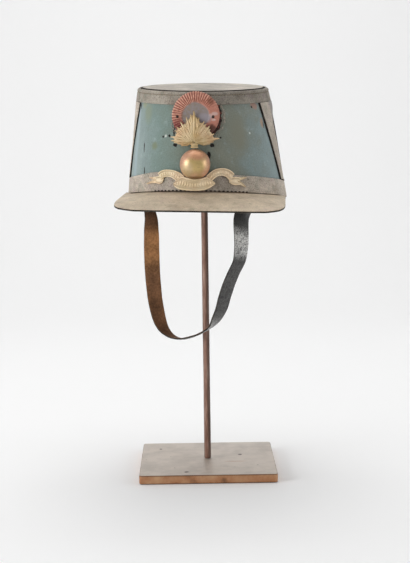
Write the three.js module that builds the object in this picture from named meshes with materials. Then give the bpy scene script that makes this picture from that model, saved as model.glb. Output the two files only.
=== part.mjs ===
// A shako hat on a steel rod-and-plate stand. Units are millimetres, +Z is up, and the
// origin is the centre of the stand plate's underside. The hat has its own frame, with
// its front towards -Y and its base edge in the plane z = 0.
import * as THREE from "three";

const gap = 0.3; // clearance left between pieces that touch

const stand = {
  plateSide: 150,
  plateThickness: 10,
  rodRadius: 3.6,
  padRadius: 28,
  padThickness: 8,
};

// Where the hat rests on the stand, and how it leans.
const pose = {
  position: [3.8, 0, 307.5],
  turn: THREE.MathUtils.degToRad(-6.35), // front towards the viewer's left
  backLean: THREE.MathUtils.degToRad(5.35), // front edge up
  sideLean: THREE.MathUtils.degToRad(1.18), // right side down
};

// The crown is a ruled wall between a base oval and a top oval that is higher at the rear.
const crown = {
  baseHalfWidth: 85.9,
  baseHalfLength: 103.1,
  topHalfWidth: 70,
  topHalfLength: 86.8,
  topShiftX: -5.4,
  topShiftY: -15.9,
  frontHeight: 102.5,
  rearHeight: 132.6,
  wall: 2.6,
};

const topBand = { width: 13.8, thickness: 1.2, rimRadius: 1.7 };
const topDisc = { thickness: 2.4, sunk: 2.6 };
const bottomBand = { width: 17.6, extraFrontLeft: 2.8, thickness: 1.4 };
const sweatband = { width: 38, thickness: 1.1 };
const chevron = {
  thickness: 1.2,
  outerTop: 30, // degrees either side of the crown's flank
  outerBottom: 13,
  innerTop: 8.5,
  apexHeight: 30,
};
const visor = {
  halfWidth: 88.2,
  reach: 155,
  sideStart: 33.5,
  shiftX: 2.9,
  squareness: 7.4,
  drop: 23.5,
  thickness: 2.6,
  innerEdge: 1.6,
};
const cockade = { x: -3.4, z: 77.8, radius: 25, thickness: 3, dish: 0.7, flutes: 66, ring: 10 };
const badgeAxis = -3.4;
const badgeBend = 0.0028; // per millimetre, squared, away from the badge's axis
const badgeStandOff = 6.3; // the flame stands over the cockade's lower edge
const ball = { x: -3.1, z: 27.5, radius: 15.8, depth: 12.5, sheet: 0.9 };
const collar = { halfWidth: 4.3, top: 49.2, bottom: 44.6 };
const strap = { width: 17.4, thickness: 2.1, anchorTop: 30, anchorFoot: 15, wallClearance: 1.9 };

const colours = {
  cloth: { color: 0x7d918c, roughness: 0.95, metalness: 0 },
  leather: { color: 0x8d8578, roughness: 0.75, metalness: 0 },
  topLeather: { color: 0xb5b0a6, roughness: 0.45, metalness: 0 },
  visorLeather: { color: 0xb7a892, roughness: 0.6, metalness: 0 },
  lining: { color: 0x6b5238, roughness: 0.8, metalness: 0 },
  cockade: { color: 0xb06a58, roughness: 0.6, metalness: 0 },
  brass: { color: 0xc2a56c, roughness: 0.35, metalness: 1 },
  strap: { color: 0x3a312b, roughness: 0.45, metalness: 0 },
  steel: { color: 0x8a7563, roughness: 0.55, metalness: 0.7 },
};

// The hanging part of the chin strap: its centre line on the stand's axes, and the turn of
// its width in degrees.
const strapPath = [
  { x: -68.4, y: 16.5, z: 301, turn: 66 },
  { x: -60.9, y: 20.5, z: 284.1, turn: 44 },
  { x: -60, y: 21.5, z: 265, turn: 20 },
  { x: -60.1, y: 22.5, z: 243.3, turn: 12 },
  { x: -59.4, y: 22.5, z: 215.9, turn: 12 },
  { x: -57, y: 22.5, z: 188.5, turn: 20 },
  { x: -54.5, y: 21.5, z: 174.8, turn: 28 },
  { x: -50.3, y: 19.5, z: 160.2, turn: 38 },
  { x: -41.9, y: 14.4, z: 149.3, turn: 46 },
  { x: -31.7, y: 5.2, z: 146.4, turn: 50 },
  { x: -18.1, y: -6.2, z: 149, turn: 52 },
  { x: -0.7, y: -17.6, z: 157.9, turn: 52 },
  { x: 7.6, y: -23.4, z: 168.8, turn: 48 },
  { x: 15.4, y: -28.2, z: 183.9, turn: 44 },
  { x: 22.7, y: -30.2, z: 201.9, turn: 40 },
  { x: 30, y: -32.3, z: 220.7, turn: 38 },
  { x: 35.5, y: -33.3, z: 236.1, turn: 34 },
  { x: 38.5, y: -33.4, z: 249.2, turn: 26 },
  { x: 39.4, y: -33.4, z: 264.5, turn: 16 },
  { x: 41.4, y: -32.4, z: 286.2, turn: 12 },
  { x: 52, y: -25.5, z: 304, turn: 34 },
  { x: 68, y: -17, z: 313, turn: 64 },
];

// Flame outline, clockwise from the collar's left side, as x and z in the hat's frame.
const flameOutline = [
  [-7.9, 48.6], [-10.9, 48.3], [-14, 46.1], [-17.5, 46], [-21.1, 48], [-25.4, 49.6],
  [-28.3, 51.6], [-25.5, 53.9], [-28.7, 55.4], [-23.6, 57.9], [-24.5, 62.1], [-22.7, 65.8],
  [-18.8, 66], [-18.6, 70.6], [-14.2, 68.8], [-12.6, 75.5], [-10, 73.9], [-8.4, 78.5],
  [-6.7, 77.7], [-5, 81.6], [-1.6, 75.9], [0.5, 75.4], [1.2, 71.6], [5.9, 71.7],
  [6.1, 68.2], [8, 68.7], [8.8, 65.6], [11.7, 66.9], [12.3, 63.6], [16.3, 58.9],
  [15.4, 56.4], [21.9, 54.2], [17.7, 52.7], [16.1, 50.6], [12.5, 48.3], [8, 47.4],
  [4.2, 49.2], [0.5, 48.6],
];

// Scroll stations from left to right: the upper edge and the lower edge as x and z.
const scrollStations = [
  { upper: [-55, 14.9], lower: [-56.7, 9.9] },
  { upper: [-48.8, 15.4], lower: [-48.7, 9.8] },
  { upper: [-42.9, 19.1], lower: [-41, 8.3] },
  { upper: [-38.7, 21.2], lower: [-36.1, 12.8] },
  { upper: [-31.3, 22.2], lower: [-30.4, 14.6] },
  { upper: [-22.5, 21], lower: [-23.9, 12.3] },
  { upper: [-16.9, 16.5], lower: [-22.2, 7] },
  { upper: [-12.4, 12.6], lower: [-17.4, 2.4] },
  { upper: [-3.6, 10.4], lower: [-3.5, 0.4] },
  { upper: [6.6, 12.8], lower: [8.6, 2.7] },
  { upper: [11.3, 17], lower: [16.7, 8.9] },
  { upper: [15.7, 22.4], lower: [16.6, 13.4] },
  { upper: [23.8, 24], lower: [24, 16.2] },
  { upper: [31.2, 22.2], lower: [28.4, 14.5] },
  { upper: [35.6, 18.6], lower: [32.1, 10.1] },
  { upper: [38.6, 15.3], lower: [35.8, 8.1] },
  { upper: [45.1, 15.6], lower: [44.6, 9.1] },
  { upper: [48.8, 15.8], lower: [47.1, 7.7] },
];

function mesh(name, geometry, finish) {
  const made = new THREE.Mesh(geometry, new THREE.MeshStandardMaterial(finish));
  made.name = name;
  return made;
}

function geometryOf(points, faces) {
  const geometry = new THREE.BufferGeometry();
  geometry.setAttribute(
    "position",
    new THREE.Float32BufferAttribute(points.flatMap((point) => [point.x, point.y, point.z]), 3),
  );
  geometry.setIndex(faces);
  geometry.computeVertexNormals();
  return geometry;
}

// A closed tube round the crown: every ring is one line of the cross-section, taken in
// order so that the outside lies on the right of the way they go.
function hoop(rings, steps) {
  const points = [];
  const faces = [];
  for (const ring of rings) {
    for (let i = 0; i < steps; i += 1) {
      points.push(ring((2 * Math.PI * i) / steps));
    }
  }
  for (let r = 0; r < rings.length; r += 1) {
    const next = (r + 1) % rings.length;
    for (let i = 0; i < steps; i += 1) {
      const j = (i + 1) % steps;
      const corners = [r * steps + i, r * steps + j, next * steps + j, next * steps + i];
      faces.push(corners[0], corners[1], corners[2], corners[0], corners[2], corners[3]);
    }
  }
  return geometryOf(points, faces);
}

// A closed slab between an outer and an inner sheet, both given over u and v from 0 to 1.
// Seen from outside, u runs to the right and v runs up.
function slab(outer, inner, uSteps, vSteps) {
  const points = [];
  const faces = [];
  const across = vSteps + 1;
  const sheet = (uSteps + 1) * across;
  for (const surface of [outer, inner]) {
    for (let i = 0; i <= uSteps; i += 1) {
      for (let j = 0; j <= vSteps; j += 1) {
        points.push(surface(i / uSteps, j / vSteps));
      }
    }
  }
  const at = (i, j) => i * across + j;
  const quad = (a, b, c, d) => faces.push(a, b, c, a, c, d);
  for (let i = 0; i < uSteps; i += 1) {
    for (let j = 0; j < vSteps; j += 1) {
      quad(at(i, j), at(i + 1, j), at(i + 1, j + 1), at(i, j + 1));
      quad(sheet + at(i, j), sheet + at(i, j + 1), sheet + at(i + 1, j + 1), sheet + at(i + 1, j));
    }
  }
  for (let i = 0; i < uSteps; i += 1) {
    quad(sheet + at(i, 0), sheet + at(i + 1, 0), at(i + 1, 0), at(i, 0));
    quad(at(i, vSteps), at(i + 1, vSteps), sheet + at(i + 1, vSteps), sheet + at(i, vSteps));
  }
  for (let j = 0; j < vSteps; j += 1) {
    quad(sheet + at(0, j + 1), sheet + at(0, j), at(0, j), at(0, j + 1));
    quad(at(uSteps, j + 1), at(uSteps, j), sheet + at(uSteps, j), sheet + at(uSteps, j + 1));
  }
  return geometryOf(points, faces);
}

function basePoint(angle) {
  return new THREE.Vector3(
    crown.baseHalfWidth * Math.sin(angle),
    -crown.baseHalfLength * Math.cos(angle),
    0,
  );
}

function topPoint(angle) {
  const rise = (1 - Math.cos(angle)) / 2;
  return new THREE.Vector3(
    crown.topShiftX + crown.topHalfWidth * Math.sin(angle),
    crown.topShiftY - crown.topHalfLength * Math.cos(angle),
    THREE.MathUtils.lerp(crown.frontHeight, crown.rearHeight, rise),
  );
}

// The point on the wall at an angle from the front, a share of its height, and a distance
// outside its surface.
function wallPoint(angle, share, offset) {
  const halfWidth = THREE.MathUtils.lerp(crown.baseHalfWidth, crown.topHalfWidth, share);
  const halfLength = THREE.MathUtils.lerp(crown.baseHalfLength, crown.topHalfLength, share);
  const outward = new THREE.Vector3(Math.sin(angle) / halfWidth, -Math.cos(angle) / halfLength, 0);
  return basePoint(angle).lerp(topPoint(angle), share).addScaledVector(outward.normalize(), offset);
}

function shareUp(angle, distance) {
  return distance / basePoint(angle).distanceTo(topPoint(angle));
}

function shareDown(angle, distance) {
  return 1 - shareUp(angle, distance);
}

// The point in front of the wall at a given x and z.
function frontPoint(x, z, offset) {
  let angle = 0;
  let share = 0;
  for (let pass = 0; pass < 6; pass += 1) {
    share = z / topPoint(angle).z;
    const halfWidth = THREE.MathUtils.lerp(crown.baseHalfWidth, crown.topHalfWidth, share);
    angle = Math.asin((x - crown.topShiftX * share) / halfWidth);
  }
  return wallPoint(angle, share, offset);
}

function bottomBandWidth(angle) {
  const fromFrontLeft = Math.atan2(Math.sin(angle + 0.5), Math.cos(angle + 0.5));
  return bottomBand.width + bottomBand.extraFrontLeft * Math.exp(-((fromFrontLeft / 0.35) ** 2));
}

function crownBody() {
  const discDepth = topDisc.sunk + topDisc.thickness + 3 * gap; // clears the sloping disc
  const bottomOuter = (angle) => wallPoint(angle, 0, 0);
  const topOuter = (angle) => wallPoint(angle, shareDown(angle, discDepth), 0);
  const topInner = (angle) => wallPoint(angle, shareDown(angle, discDepth), -crown.wall);
  const bottomInner = (angle) => wallPoint(angle, 0, -crown.wall);
  return hoop([bottomOuter, topOuter, topInner, bottomInner], 96);
}

function crownTop() {
  const edge = (depth) => (angle) => wallPoint(angle, shareDown(angle, depth), 0);
  const middle = (depth) => {
    const centre = new THREE.Vector3();
    centre.addVectors(edge(depth)(0), edge(depth)(Math.PI));
    return centre.multiplyScalar(0.5);
  };
  const steps = 96;
  const points = [middle(topDisc.sunk), middle(topDisc.sunk + topDisc.thickness)];
  const faces = [];
  for (const depth of [topDisc.sunk, topDisc.sunk + topDisc.thickness]) {
    for (let i = 0; i < steps; i += 1) {
      points.push(edge(depth)((2 * Math.PI * i) / steps));
    }
  }
  for (let i = 0; i < steps; i += 1) {
    const j = (i + 1) % steps;
    const upper = [2 + i, 2 + j];
    const lower = [2 + steps + i, 2 + steps + j];
    faces.push(0, upper[0], upper[1], 1, lower[1], lower[0]);
    faces.push(lower[0], lower[1], upper[1], lower[0], upper[1], upper[0]);
  }
  return geometryOf(points, faces);
}

// Leather band with a bead at the rim that curls in over the edge of the crown's top.
function topBandWithRim() {
  const outside = gap + topBand.thickness;
  const at = (depth, offset) => (angle) => wallPoint(angle, shareDown(angle, depth), offset);
  const reach = topBand.rimRadius;
  const underBead = topDisc.sunk - 2.5 * gap; // clears the sloping disc
  return hoop(
    [
      at(topBand.width, outside),
      at(2.6 * reach, outside),
      at(1.5 * reach, outside + 0.5),
      at(0.6 * reach, outside + 0.3),
      at(0, outside - 0.9),
      at(0, outside - 2.4),
      at(0.5 * reach, outside - 3.6),
      at(underBead, outside - 3.7),
      at(underBead, gap),
      at(topBand.width, gap),
    ],
    96,
  );
}

function bottomBandRing() {
  const at = (share, offset) => (angle) => wallPoint(angle, share(angle), offset);
  const bottom = () => 0;
  const top = (angle) => shareUp(angle, bottomBandWidth(angle));
  const outside = gap + bottomBand.thickness;
  return hoop([at(bottom, outside), at(top, outside), at(top, gap), at(bottom, gap)], 96);
}

function sweatbandRing() {
  const outside = -crown.wall - gap;
  const inside = outside - sweatband.thickness;
  const at = (distance, offset) => (angle) => wallPoint(angle, shareUp(angle, distance), offset);
  return hoop(
    [at(0.5, outside), at(sweatband.width, outside), at(sweatband.width, inside), at(0.5, inside)],
    96,
  );
}

// One V on a flank: its outer edge runs down, along the foot and up again, and its inner
// edge comes to a point above the foot. The side is 1 for the right and -1 for the left.
function sideChevron(side) {
  const middle = (side * Math.PI) / 2;
  const degrees = THREE.MathUtils.degToRad;
  const topDepth = topBand.width + gap;
  const legs = 14;
  const foot = 8;
  const steps = 2 * legs + foot;
  const lines = [];
  for (let i = 0; i <= steps; i += 1) {
    const down = Math.min(i, steps - i, legs) / legs;
    const turn = THREE.MathUtils.clamp((i - legs) / foot, 0, 1) * 2 - 1;
    const spread = THREE.MathUtils.lerp(chevron.outerTop, chevron.outerBottom, down);
    const inset = THREE.MathUtils.lerp(chevron.innerTop, 0.4, down);
    const outerAngle = middle + degrees(spread * turn);
    const innerAngle = middle + degrees(inset * turn);
    const highest = shareDown(outerAngle, topDepth);
    const lowestOuter = shareUp(outerAngle, bottomBandWidth(outerAngle) + gap);
    const lowestInner = shareUp(innerAngle, chevron.apexHeight);
    lines.push({
      outerAngle,
      innerAngle,
      outerShare: THREE.MathUtils.lerp(highest, lowestOuter, down),
      innerShare: THREE.MathUtils.lerp(shareDown(innerAngle, topDepth), lowestInner, down),
    });
  }
  const surface = (offset) => (u, v) => {
    const line = lines[Math.round(u * steps)];
    const angle = THREE.MathUtils.lerp(line.outerAngle, line.innerAngle, v);
    return wallPoint(angle, THREE.MathUtils.lerp(line.outerShare, line.innerShare, v), offset);
  };
  return slab(surface(gap + chevron.thickness), surface(gap), steps, 5);
}

// The peak is ruled from the base oval to a straight front edge with rounded corners.
function visorPlate() {
  const power = 2 / visor.squareness;
  const endAngle = Math.acos(visor.sideStart / crown.baseHalfLength);
  const surface = (drop) => (u, v) => {
    const turn = THREE.MathUtils.lerp(-Math.PI / 2, Math.PI / 2, u);
    const sine = Math.sign(Math.sin(turn)) * Math.abs(Math.sin(turn)) ** power;
    const forward = Math.max(Math.cos(turn), 0) ** power;
    const outer = new THREE.Vector3(
      visor.shiftX + visor.halfWidth * sine,
      -visor.sideStart - (visor.reach - visor.sideStart) * forward,
      -visor.drop * forward,
    );
    const inner = wallPoint(endAngle * (2 * u - 1), 0, -visor.innerEdge);
    const point = outer.lerp(inner, v);
    point.z -= gap + drop;
    return point;
  };
  return slab(surface(0), surface(visor.thickness), 72, 8);
}

// A point on a stiff plate before the wall, which bends back less than the wall does.
function platePoint(x, z, offset) {
  const point = frontPoint(badgeAxis, z, offset);
  point.x = x;
  point.y += badgeBend * (x - badgeAxis) ** 2;
  return point;
}

// Round dish with a fluted outer ring.
function cockadeDisc() {
  const back = gap + topBand.thickness + gap + 0.2;
  const steps = cockade.flutes * 4;
  const profile = [
    { radius: cockade.radius - 0.8, height: 0 },
    { radius: cockade.radius, height: 0.8 },
    { radius: cockade.radius - 0.6, height: cockade.thickness - 0.5, flute: 0.4 },
    { radius: cockade.radius - cockade.ring / 2, height: cockade.thickness, flute: 0.5 },
    { radius: cockade.radius - cockade.ring, height: cockade.thickness - cockade.dish },
  ];
  const points = [];
  const faces = [];
  const place = (radius, height, angle) => {
    const x = cockade.x + radius * Math.sin(angle);
    return platePoint(x, cockade.z + radius * Math.cos(angle), back + height);
  };
  points.push(place(0, 0, 0), place(0, cockade.thickness - cockade.dish, 0));
  for (const { radius, height, flute = 0 } of profile) {
    for (let i = 0; i < steps; i += 1) {
      const angle = (2 * Math.PI * i) / steps;
      points.push(place(radius, height + flute * Math.cos(cockade.flutes * angle), angle));
    }
  }
  const last = profile.length - 1;
  for (let i = 0; i < steps; i += 1) {
    const j = (i + 1) % steps;
    faces.push(0, 2 + i, 2 + j, 1, 2 + last * steps + j, 2 + last * steps + i);
    for (let r = 0; r < last; r += 1) {
      const low = 2 + r * steps;
      const high = low + steps;
      faces.push(low + i, high + i, high + j, low + i, high + j, low + j);
    }
  }
  return geometryOf(points, faces);
}

// Sheet relief whose outline fans out from the collar.
function flameRelief() {
  const root = { x: -3.7, z: 50.2 };
  const surface = (depth) => (u, v) => {
    const [tipX, tipZ] = flameOutline[Math.round((1 - u) * (flameOutline.length - 1))];
    const share = THREE.MathUtils.lerp(1, 0.04, v);
    const x = THREE.MathUtils.lerp(root.x, tipX, share);
    const z = THREE.MathUtils.lerp(root.z, tipZ, share);
    const swell = depth > 0 ? 1.6 * (1 - share) : 0;
    return platePoint(x, z, badgeStandOff + depth + swell);
  };
  return slab(surface(1.6), surface(0), flameOutline.length - 1, 5);
}

function collarBlock() {
  const surface = (depth) => (u, v) => {
    const x = ball.x - 0.5 + collar.halfWidth * (2 * u - 1);
    const bulge = depth > 0 ? 2.2 * Math.sin(Math.PI * u) : 0;
    return platePoint(x, THREE.MathUtils.lerp(collar.bottom, collar.top - 0.9, v), depth + bulge);
  };
  return slab(surface(8.4), surface(badgeStandOff), 10, 3);
}

// Stamped dome, open at the back: the profile runs from the inner apex to the outer one.
function ballDome() {
  const steps = 14;
  const arc = (radius, depth, i) => {
    const angle = (i / steps) * (Math.PI / 2);
    return new THREE.Vector2(i === steps ? 0 : radius * Math.cos(angle), depth * Math.sin(angle));
  };
  const profile = [];
  for (let i = steps; i >= 0; i -= 1) {
    profile.push(arc(ball.radius - ball.sheet, ball.depth - ball.sheet, i));
  }
  for (let i = 0; i <= steps; i += 1) {
    profile.push(arc(ball.radius, ball.depth, i));
  }
  return new THREE.LatheGeometry(profile, 48);
}

function scrollRibbon() {
  const last = scrollStations.length - 1;
  const surface = (depth) => (u, v) => {
    const place = u * last;
    const from = scrollStations[Math.floor(place)];
    const to = scrollStations[Math.min(Math.floor(place) + 1, last)];
    const part = place - Math.floor(place);
    const mix = (edge, axis) => THREE.MathUtils.lerp(from[edge][axis], to[edge][axis], part);
    const x = THREE.MathUtils.lerp(mix("lower", 0), mix("upper", 0), v);
    const z = THREE.MathUtils.lerp(mix("lower", 1), mix("upper", 1), v);
    return frontPoint(x, z, depth);
  };
  const back = gap + bottomBand.thickness + gap;
  return slab(surface(back + 1), surface(back), 2 * last, 3);
}

// The strap hangs from two anchors that lie flat against the lining, one on each flank.
function chinStrap(hat) {
  const inside = crown.wall + gap + sweatband.thickness + strap.wallClearance;
  const anchor = (side, height) => {
    const angle = (side * Math.PI) / 2;
    const share = shareUp(angle, height);
    const { x, y, z } = hat.localToWorld(wallPoint(angle, share, -inside - strap.thickness / 2));
    return { x, y, z, turn: 90 + THREE.MathUtils.radToDeg(pose.turn) };
  };
  const route = [
    anchor(-1, strap.anchorTop),
    anchor(-1, strap.anchorFoot),
    ...strapPath,
    anchor(1, strap.anchorFoot),
    anchor(1, strap.anchorTop),
  ];
  const centre = new THREE.CatmullRomCurve3(
    route.map(({ x, y, z }) => new THREE.Vector3(x, y, z)),
    false,
    "centripetal",
  );
  const steps = 110;
  const frames = [];
  for (let i = 0; i <= steps; i += 1) {
    const t = i / steps;
    const place = t * (route.length - 1);
    const from = route[Math.floor(place)];
    const to = route[Math.min(Math.floor(place) + 1, route.length - 1)];
    const turn = THREE.MathUtils.degToRad(THREE.MathUtils.lerp(from.turn, to.turn, place % 1));
    const along = centre.getTangent(t);
    const across = new THREE.Vector3(Math.cos(turn), Math.sin(turn), 0);
    across.addScaledVector(along, -across.dot(along)).normalize();
    frames.push({ point: centre.getPoint(t), across, face: along.clone().cross(across) });
  }
  const surface = (side) => (u, v) => {
    const { point, across, face } = frames[Math.round(u * steps)];
    const made = point.clone().addScaledVector(across, strap.width * (v - 0.5));
    return made.addScaledVector(face, side * 0.5 * strap.thickness);
  };
  return slab(surface(1), surface(-1), steps, 2);
}

const shako = new THREE.Group();
shako.name = "shako_on_stand";

const hat = new THREE.Group();
hat.name = "hat";
hat.position.set(...pose.position);
hat.rotation.set(-pose.backLean, pose.sideLean, pose.turn, "ZYX");
shako.add(hat);

hat.add(mesh("crown_body", crownBody(), colours.cloth));
hat.add(mesh("crown_top", crownTop(), colours.topLeather));
hat.add(mesh("top_band", topBandWithRim(), colours.leather));
hat.add(mesh("bottom_band", bottomBandRing(), colours.leather));
hat.add(mesh("sweatband", sweatbandRing(), colours.lining));
hat.add(mesh("chevron_left", sideChevron(-1), colours.leather));
hat.add(mesh("chevron_right", sideChevron(1), colours.leather));
hat.add(mesh("visor", visorPlate(), colours.visorLeather));
hat.add(mesh("cockade", cockadeDisc(), colours.cockade));
hat.add(mesh("grenade_flame", flameRelief(), colours.brass));
hat.add(mesh("grenade_collar", collarBlock(), colours.brass));
hat.add(mesh("scroll", scrollRibbon(), colours.brass));

const dome = mesh("grenade_ball", ballDome(), colours.brass);
dome.position.copy(frontPoint(ball.x, ball.z, gap + bottomBand.thickness + gap + 1 + gap));
dome.rotation.x = Math.PI;
hat.add(dome);

shako.updateMatrixWorld(true);
shako.add(mesh("chin_strap", chinStrap(hat), colours.strap));

const plate = mesh(
  "stand_plate",
  new THREE.BoxGeometry(stand.plateSide, stand.plateSide, stand.plateThickness),
  colours.steel,
);
plate.position.z = stand.plateThickness / 2;
shako.add(plate);

// The pad lies flat under the crown's top, where the upright rod meets it.
const toHat = hat.matrixWorld.clone().invert();
const rodFoot = new THREE.Vector3().applyMatrix4(toHat);
const rodAxis = new THREE.Vector3(0, 0, 1).transformDirection(toHat);
const underside = topDisc.sunk + topDisc.thickness + gap + 0.1;
const topSlope = Math.atan2(crown.rearHeight - crown.frontHeight, 2 * crown.topHalfLength);
const padAxis = new THREE.Vector3(0, -Math.sin(topSlope), Math.cos(topSlope));
const topPlane = new THREE.Plane().setFromNormalAndCoplanarPoint(
  padAxis,
  wallPoint(0, shareDown(0, underside), 0),
);
const meeting = new THREE.Ray(rodFoot, rodAxis).intersectPlane(topPlane, new THREE.Vector3());

const pad = mesh(
  "stand_pad",
  new THREE.CylinderGeometry(stand.padRadius, stand.padRadius, stand.padThickness, 40),
  colours.steel,
);
pad.rotation.x = Math.PI / 2 + topSlope;
pad.position.copy(meeting).addScaledVector(padAxis, -stand.padThickness / 2);
hat.add(pad);

const padFoot = meeting.clone().addScaledVector(padAxis, -stand.padThickness);
const rodTilt = rodAxis.angleTo(padAxis);
const rodTop = hat.localToWorld(padFoot).z - gap - stand.rodRadius * Math.tan(rodTilt);
const rodLength = rodTop - stand.plateThickness - gap;
const rod = mesh(
  "stand_rod",
  new THREE.CylinderGeometry(stand.rodRadius, stand.rodRadius, rodLength, 24),
  colours.steel,
);
rod.rotation.x = Math.PI / 2;
rod.position.z = stand.plateThickness + gap + rodLength / 2;
shako.add(rod);

export default shako;
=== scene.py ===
import math

import bpy
import numpy as np
from mathutils import Matrix, Vector


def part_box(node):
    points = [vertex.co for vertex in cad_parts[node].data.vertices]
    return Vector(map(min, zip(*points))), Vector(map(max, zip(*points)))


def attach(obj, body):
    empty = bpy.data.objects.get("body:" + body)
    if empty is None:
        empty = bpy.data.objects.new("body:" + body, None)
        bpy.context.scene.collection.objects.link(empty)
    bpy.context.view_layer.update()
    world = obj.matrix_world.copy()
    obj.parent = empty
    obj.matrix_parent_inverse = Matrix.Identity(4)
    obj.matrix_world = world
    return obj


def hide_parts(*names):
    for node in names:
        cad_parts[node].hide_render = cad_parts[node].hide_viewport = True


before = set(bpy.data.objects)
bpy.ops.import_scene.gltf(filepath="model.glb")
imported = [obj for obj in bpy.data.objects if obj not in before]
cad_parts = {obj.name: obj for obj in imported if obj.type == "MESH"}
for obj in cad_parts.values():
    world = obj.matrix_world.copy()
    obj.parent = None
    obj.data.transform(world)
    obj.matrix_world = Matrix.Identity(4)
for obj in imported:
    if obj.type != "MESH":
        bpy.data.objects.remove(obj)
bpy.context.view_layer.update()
print("frame loaded")

mm = 0.001


# ---- camera, lights and floor ----

cameraSettings = {
    "place": (-0.0140, -1.4957, 0.3842),
    "azimuth": -0.52,  # degrees
    "lookDown": 6.59,
    "roll": -0.77,
    "lens": 86.2,
}


def addCamera(settings):
    data = bpy.data.cameras.new("studioCamera")
    data.lens = settings["lens"]
    data.sensor_width = 36
    camera = bpy.data.objects.new("studioCamera", data)
    bpy.context.collection.objects.link(camera)
    aim = Matrix.Rotation(math.radians(settings["azimuth"]), 4, "Z")
    aim = aim @ Matrix.Rotation(math.radians(90 - settings["lookDown"]), 4, "X")
    aim = aim @ Matrix.Rotation(math.radians(settings["roll"]), 4, "Z")
    camera.matrix_world = Matrix.Translation(settings["place"]) @ aim
    bpy.context.scene.camera = camera


addCamera(cameraSettings)


def toLinear(hexColour):
    channels = [int(hexColour[i:i + 2], 16) / 255 for i in (1, 3, 5)]
    linear = [c / 12.92 if c <= 0.04045 else ((c + 0.055) / 1.055) ** 2.4 for c in channels]
    return (*linear, 1)


# One node with its settings and links. Names in lower case are the node's own settings,
# the others are its sockets, and ramp is a list of stops.
def addNode(tree, kind, settings=None, links=None):
    node = tree.nodes.new("ShaderNode" + kind)
    for key, value in (settings or {}).items():
        if key == "ramp":
            stops = node.color_ramp.elements
            while len(stops) < len(value):
                stops.new(0.5)
            for stop, (position, colour) in zip(stops, value):
                stop.position = position
                stop.color = toLinear(colour) if isinstance(colour, str) else (colour,) * 3 + (1,)
        elif isinstance(key, str) and key[0].islower():
            setattr(node, key, value)
        else:
            node.inputs[key].default_value = value
    for key, source in (links or {}).items():
        tree.links.new(source if isinstance(source, bpy.types.NodeSocket) else source.outputs[0],
                       node.inputs[key])
    return node


def newMaterial(name, settings):
    material = bpy.data.materials.new(name)
    material.use_nodes = True
    tree = material.node_tree
    shader = tree.nodes["Principled BSDF"]
    for key, value in settings.items():
        shader.inputs[key].default_value = value
    return material, tree


# Links sources to a surface's shader, with relief as a bump whose height is in millimetres.
def finishSurface(tree, sources, relief=None, strength=0.0, high=0.0, normals=("Normal",)):
    sources = dict(sources)
    if relief is not None:
        bump = addNode(tree, "Bump", {"Strength": strength, "Distance": high * mm}, {"Height": relief})
        sources.update({key: bump for key in normals})
    for key, source in sources.items():
        tree.links.new(source if isinstance(source, bpy.types.NodeSocket) else source.outputs[0],
                       tree.nodes["Principled BSDF"].inputs[key])


studio = {
    "floor": "#fcfcfc",
    "world": 0.285,
    "key": {"place": (-2.0, -1.05, 0.75), "aim": (0, 0, 0.3), "size": 1.1, "power": 27},
    "fill": {"place": (2.0, -0.95, 0.7), "aim": (0, 0, 0.3), "size": 1.1, "power": 11},
    "top": {"place": (0, 0.2, 2.3), "aim": (0, 0, 0.2), "size": 2.0, "power": 22},
    "back": {"place": (0, 0.9, 2.2), "aim": (0, 2.4, 0.4), "size": 1.6, "power": 9},
}


def addSoftbox(name, settings):
    data = bpy.data.lights.new(name, "AREA")
    data.shape = "SQUARE"
    data.size = settings["size"]
    data.energy = settings["power"]
    lamp = bpy.data.objects.new(name, data)
    bpy.context.collection.objects.link(lamp)
    lamp.location = settings["place"]
    aim = Vector(settings["aim"]) - lamp.location
    lamp.rotation_euler = aim.to_track_quat("-Z", "Y").to_euler()


# A sweep of floor that curves up behind the object, so that no horizon shows.
def addFloor():
    profile = [(-4, 0), (1.2, 0)]
    bend = 1.2
    profile += [(bend + bend * math.sin(a), bend - bend * math.cos(a)) for a in np.linspace(0.1, 1.57, 14)]
    profile.append((2.4, 5))
    points = [(side, y, z) for y, z in profile for side in (-5, 5)]
    faces = [(2 * i, 2 * i + 1, 2 * i + 3, 2 * i + 2) for i in range(len(profile) - 1)]
    mesh = bpy.data.meshes.new("studioFloor")
    mesh.from_pydata(points, [], faces)
    mesh.polygons.foreach_set("use_smooth", [True] * len(faces))
    floor = bpy.data.objects.new("studioFloor", mesh)
    bpy.context.collection.objects.link(floor)
    paper = newMaterial("mattePaper", {
        "Base Color": toLinear(studio["floor"]), "Roughness": 0.9, "Specular IOR Level": 0.1})
    mesh.materials.append(paper[0])


for part in ("key", "fill", "top", "back"):
    addSoftbox(part + "Softbox", studio[part])
addFloor()
world = bpy.data.worlds.new("studioWorld")
world.use_nodes = True
world.node_tree.nodes["Background"].inputs["Color"].default_value = (1, 1, 1, 1)
world.node_tree.nodes["Background"].inputs["Strength"].default_value = studio["world"]
bpy.context.scene.world = world
bpy.context.scene.view_settings.view_transform = "Standard"
print("camera, floor and lights placed")


# ---- the hat's own frame, in millimetres, with its front towards -Y ----

hatPose = {"place": (3.8, 0, 307.5), "turn": -6.35, "backLean": 5.35, "sideLean": 1.18}

crown = {
    "baseHalfWidth": 85.9,
    "baseHalfLength": 103.1,
    "topHalfWidth": 70,
    "topHalfLength": 86.8,
    "topShiftX": -5.4,
    "topShiftY": -15.9,
    "frontHeight": 102.5,
    "rearHeight": 132.6,
    "wall": 2.6,
    "openAbove": 5.9,  # the cloth stops this far below the rim
    "unevenness": 0.35,  # how far the felt has lost its true shape
    "steps": 400,
    "marksRadius": 95,  # mm, turns an angle into a length for the holes and patches
}

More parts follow.
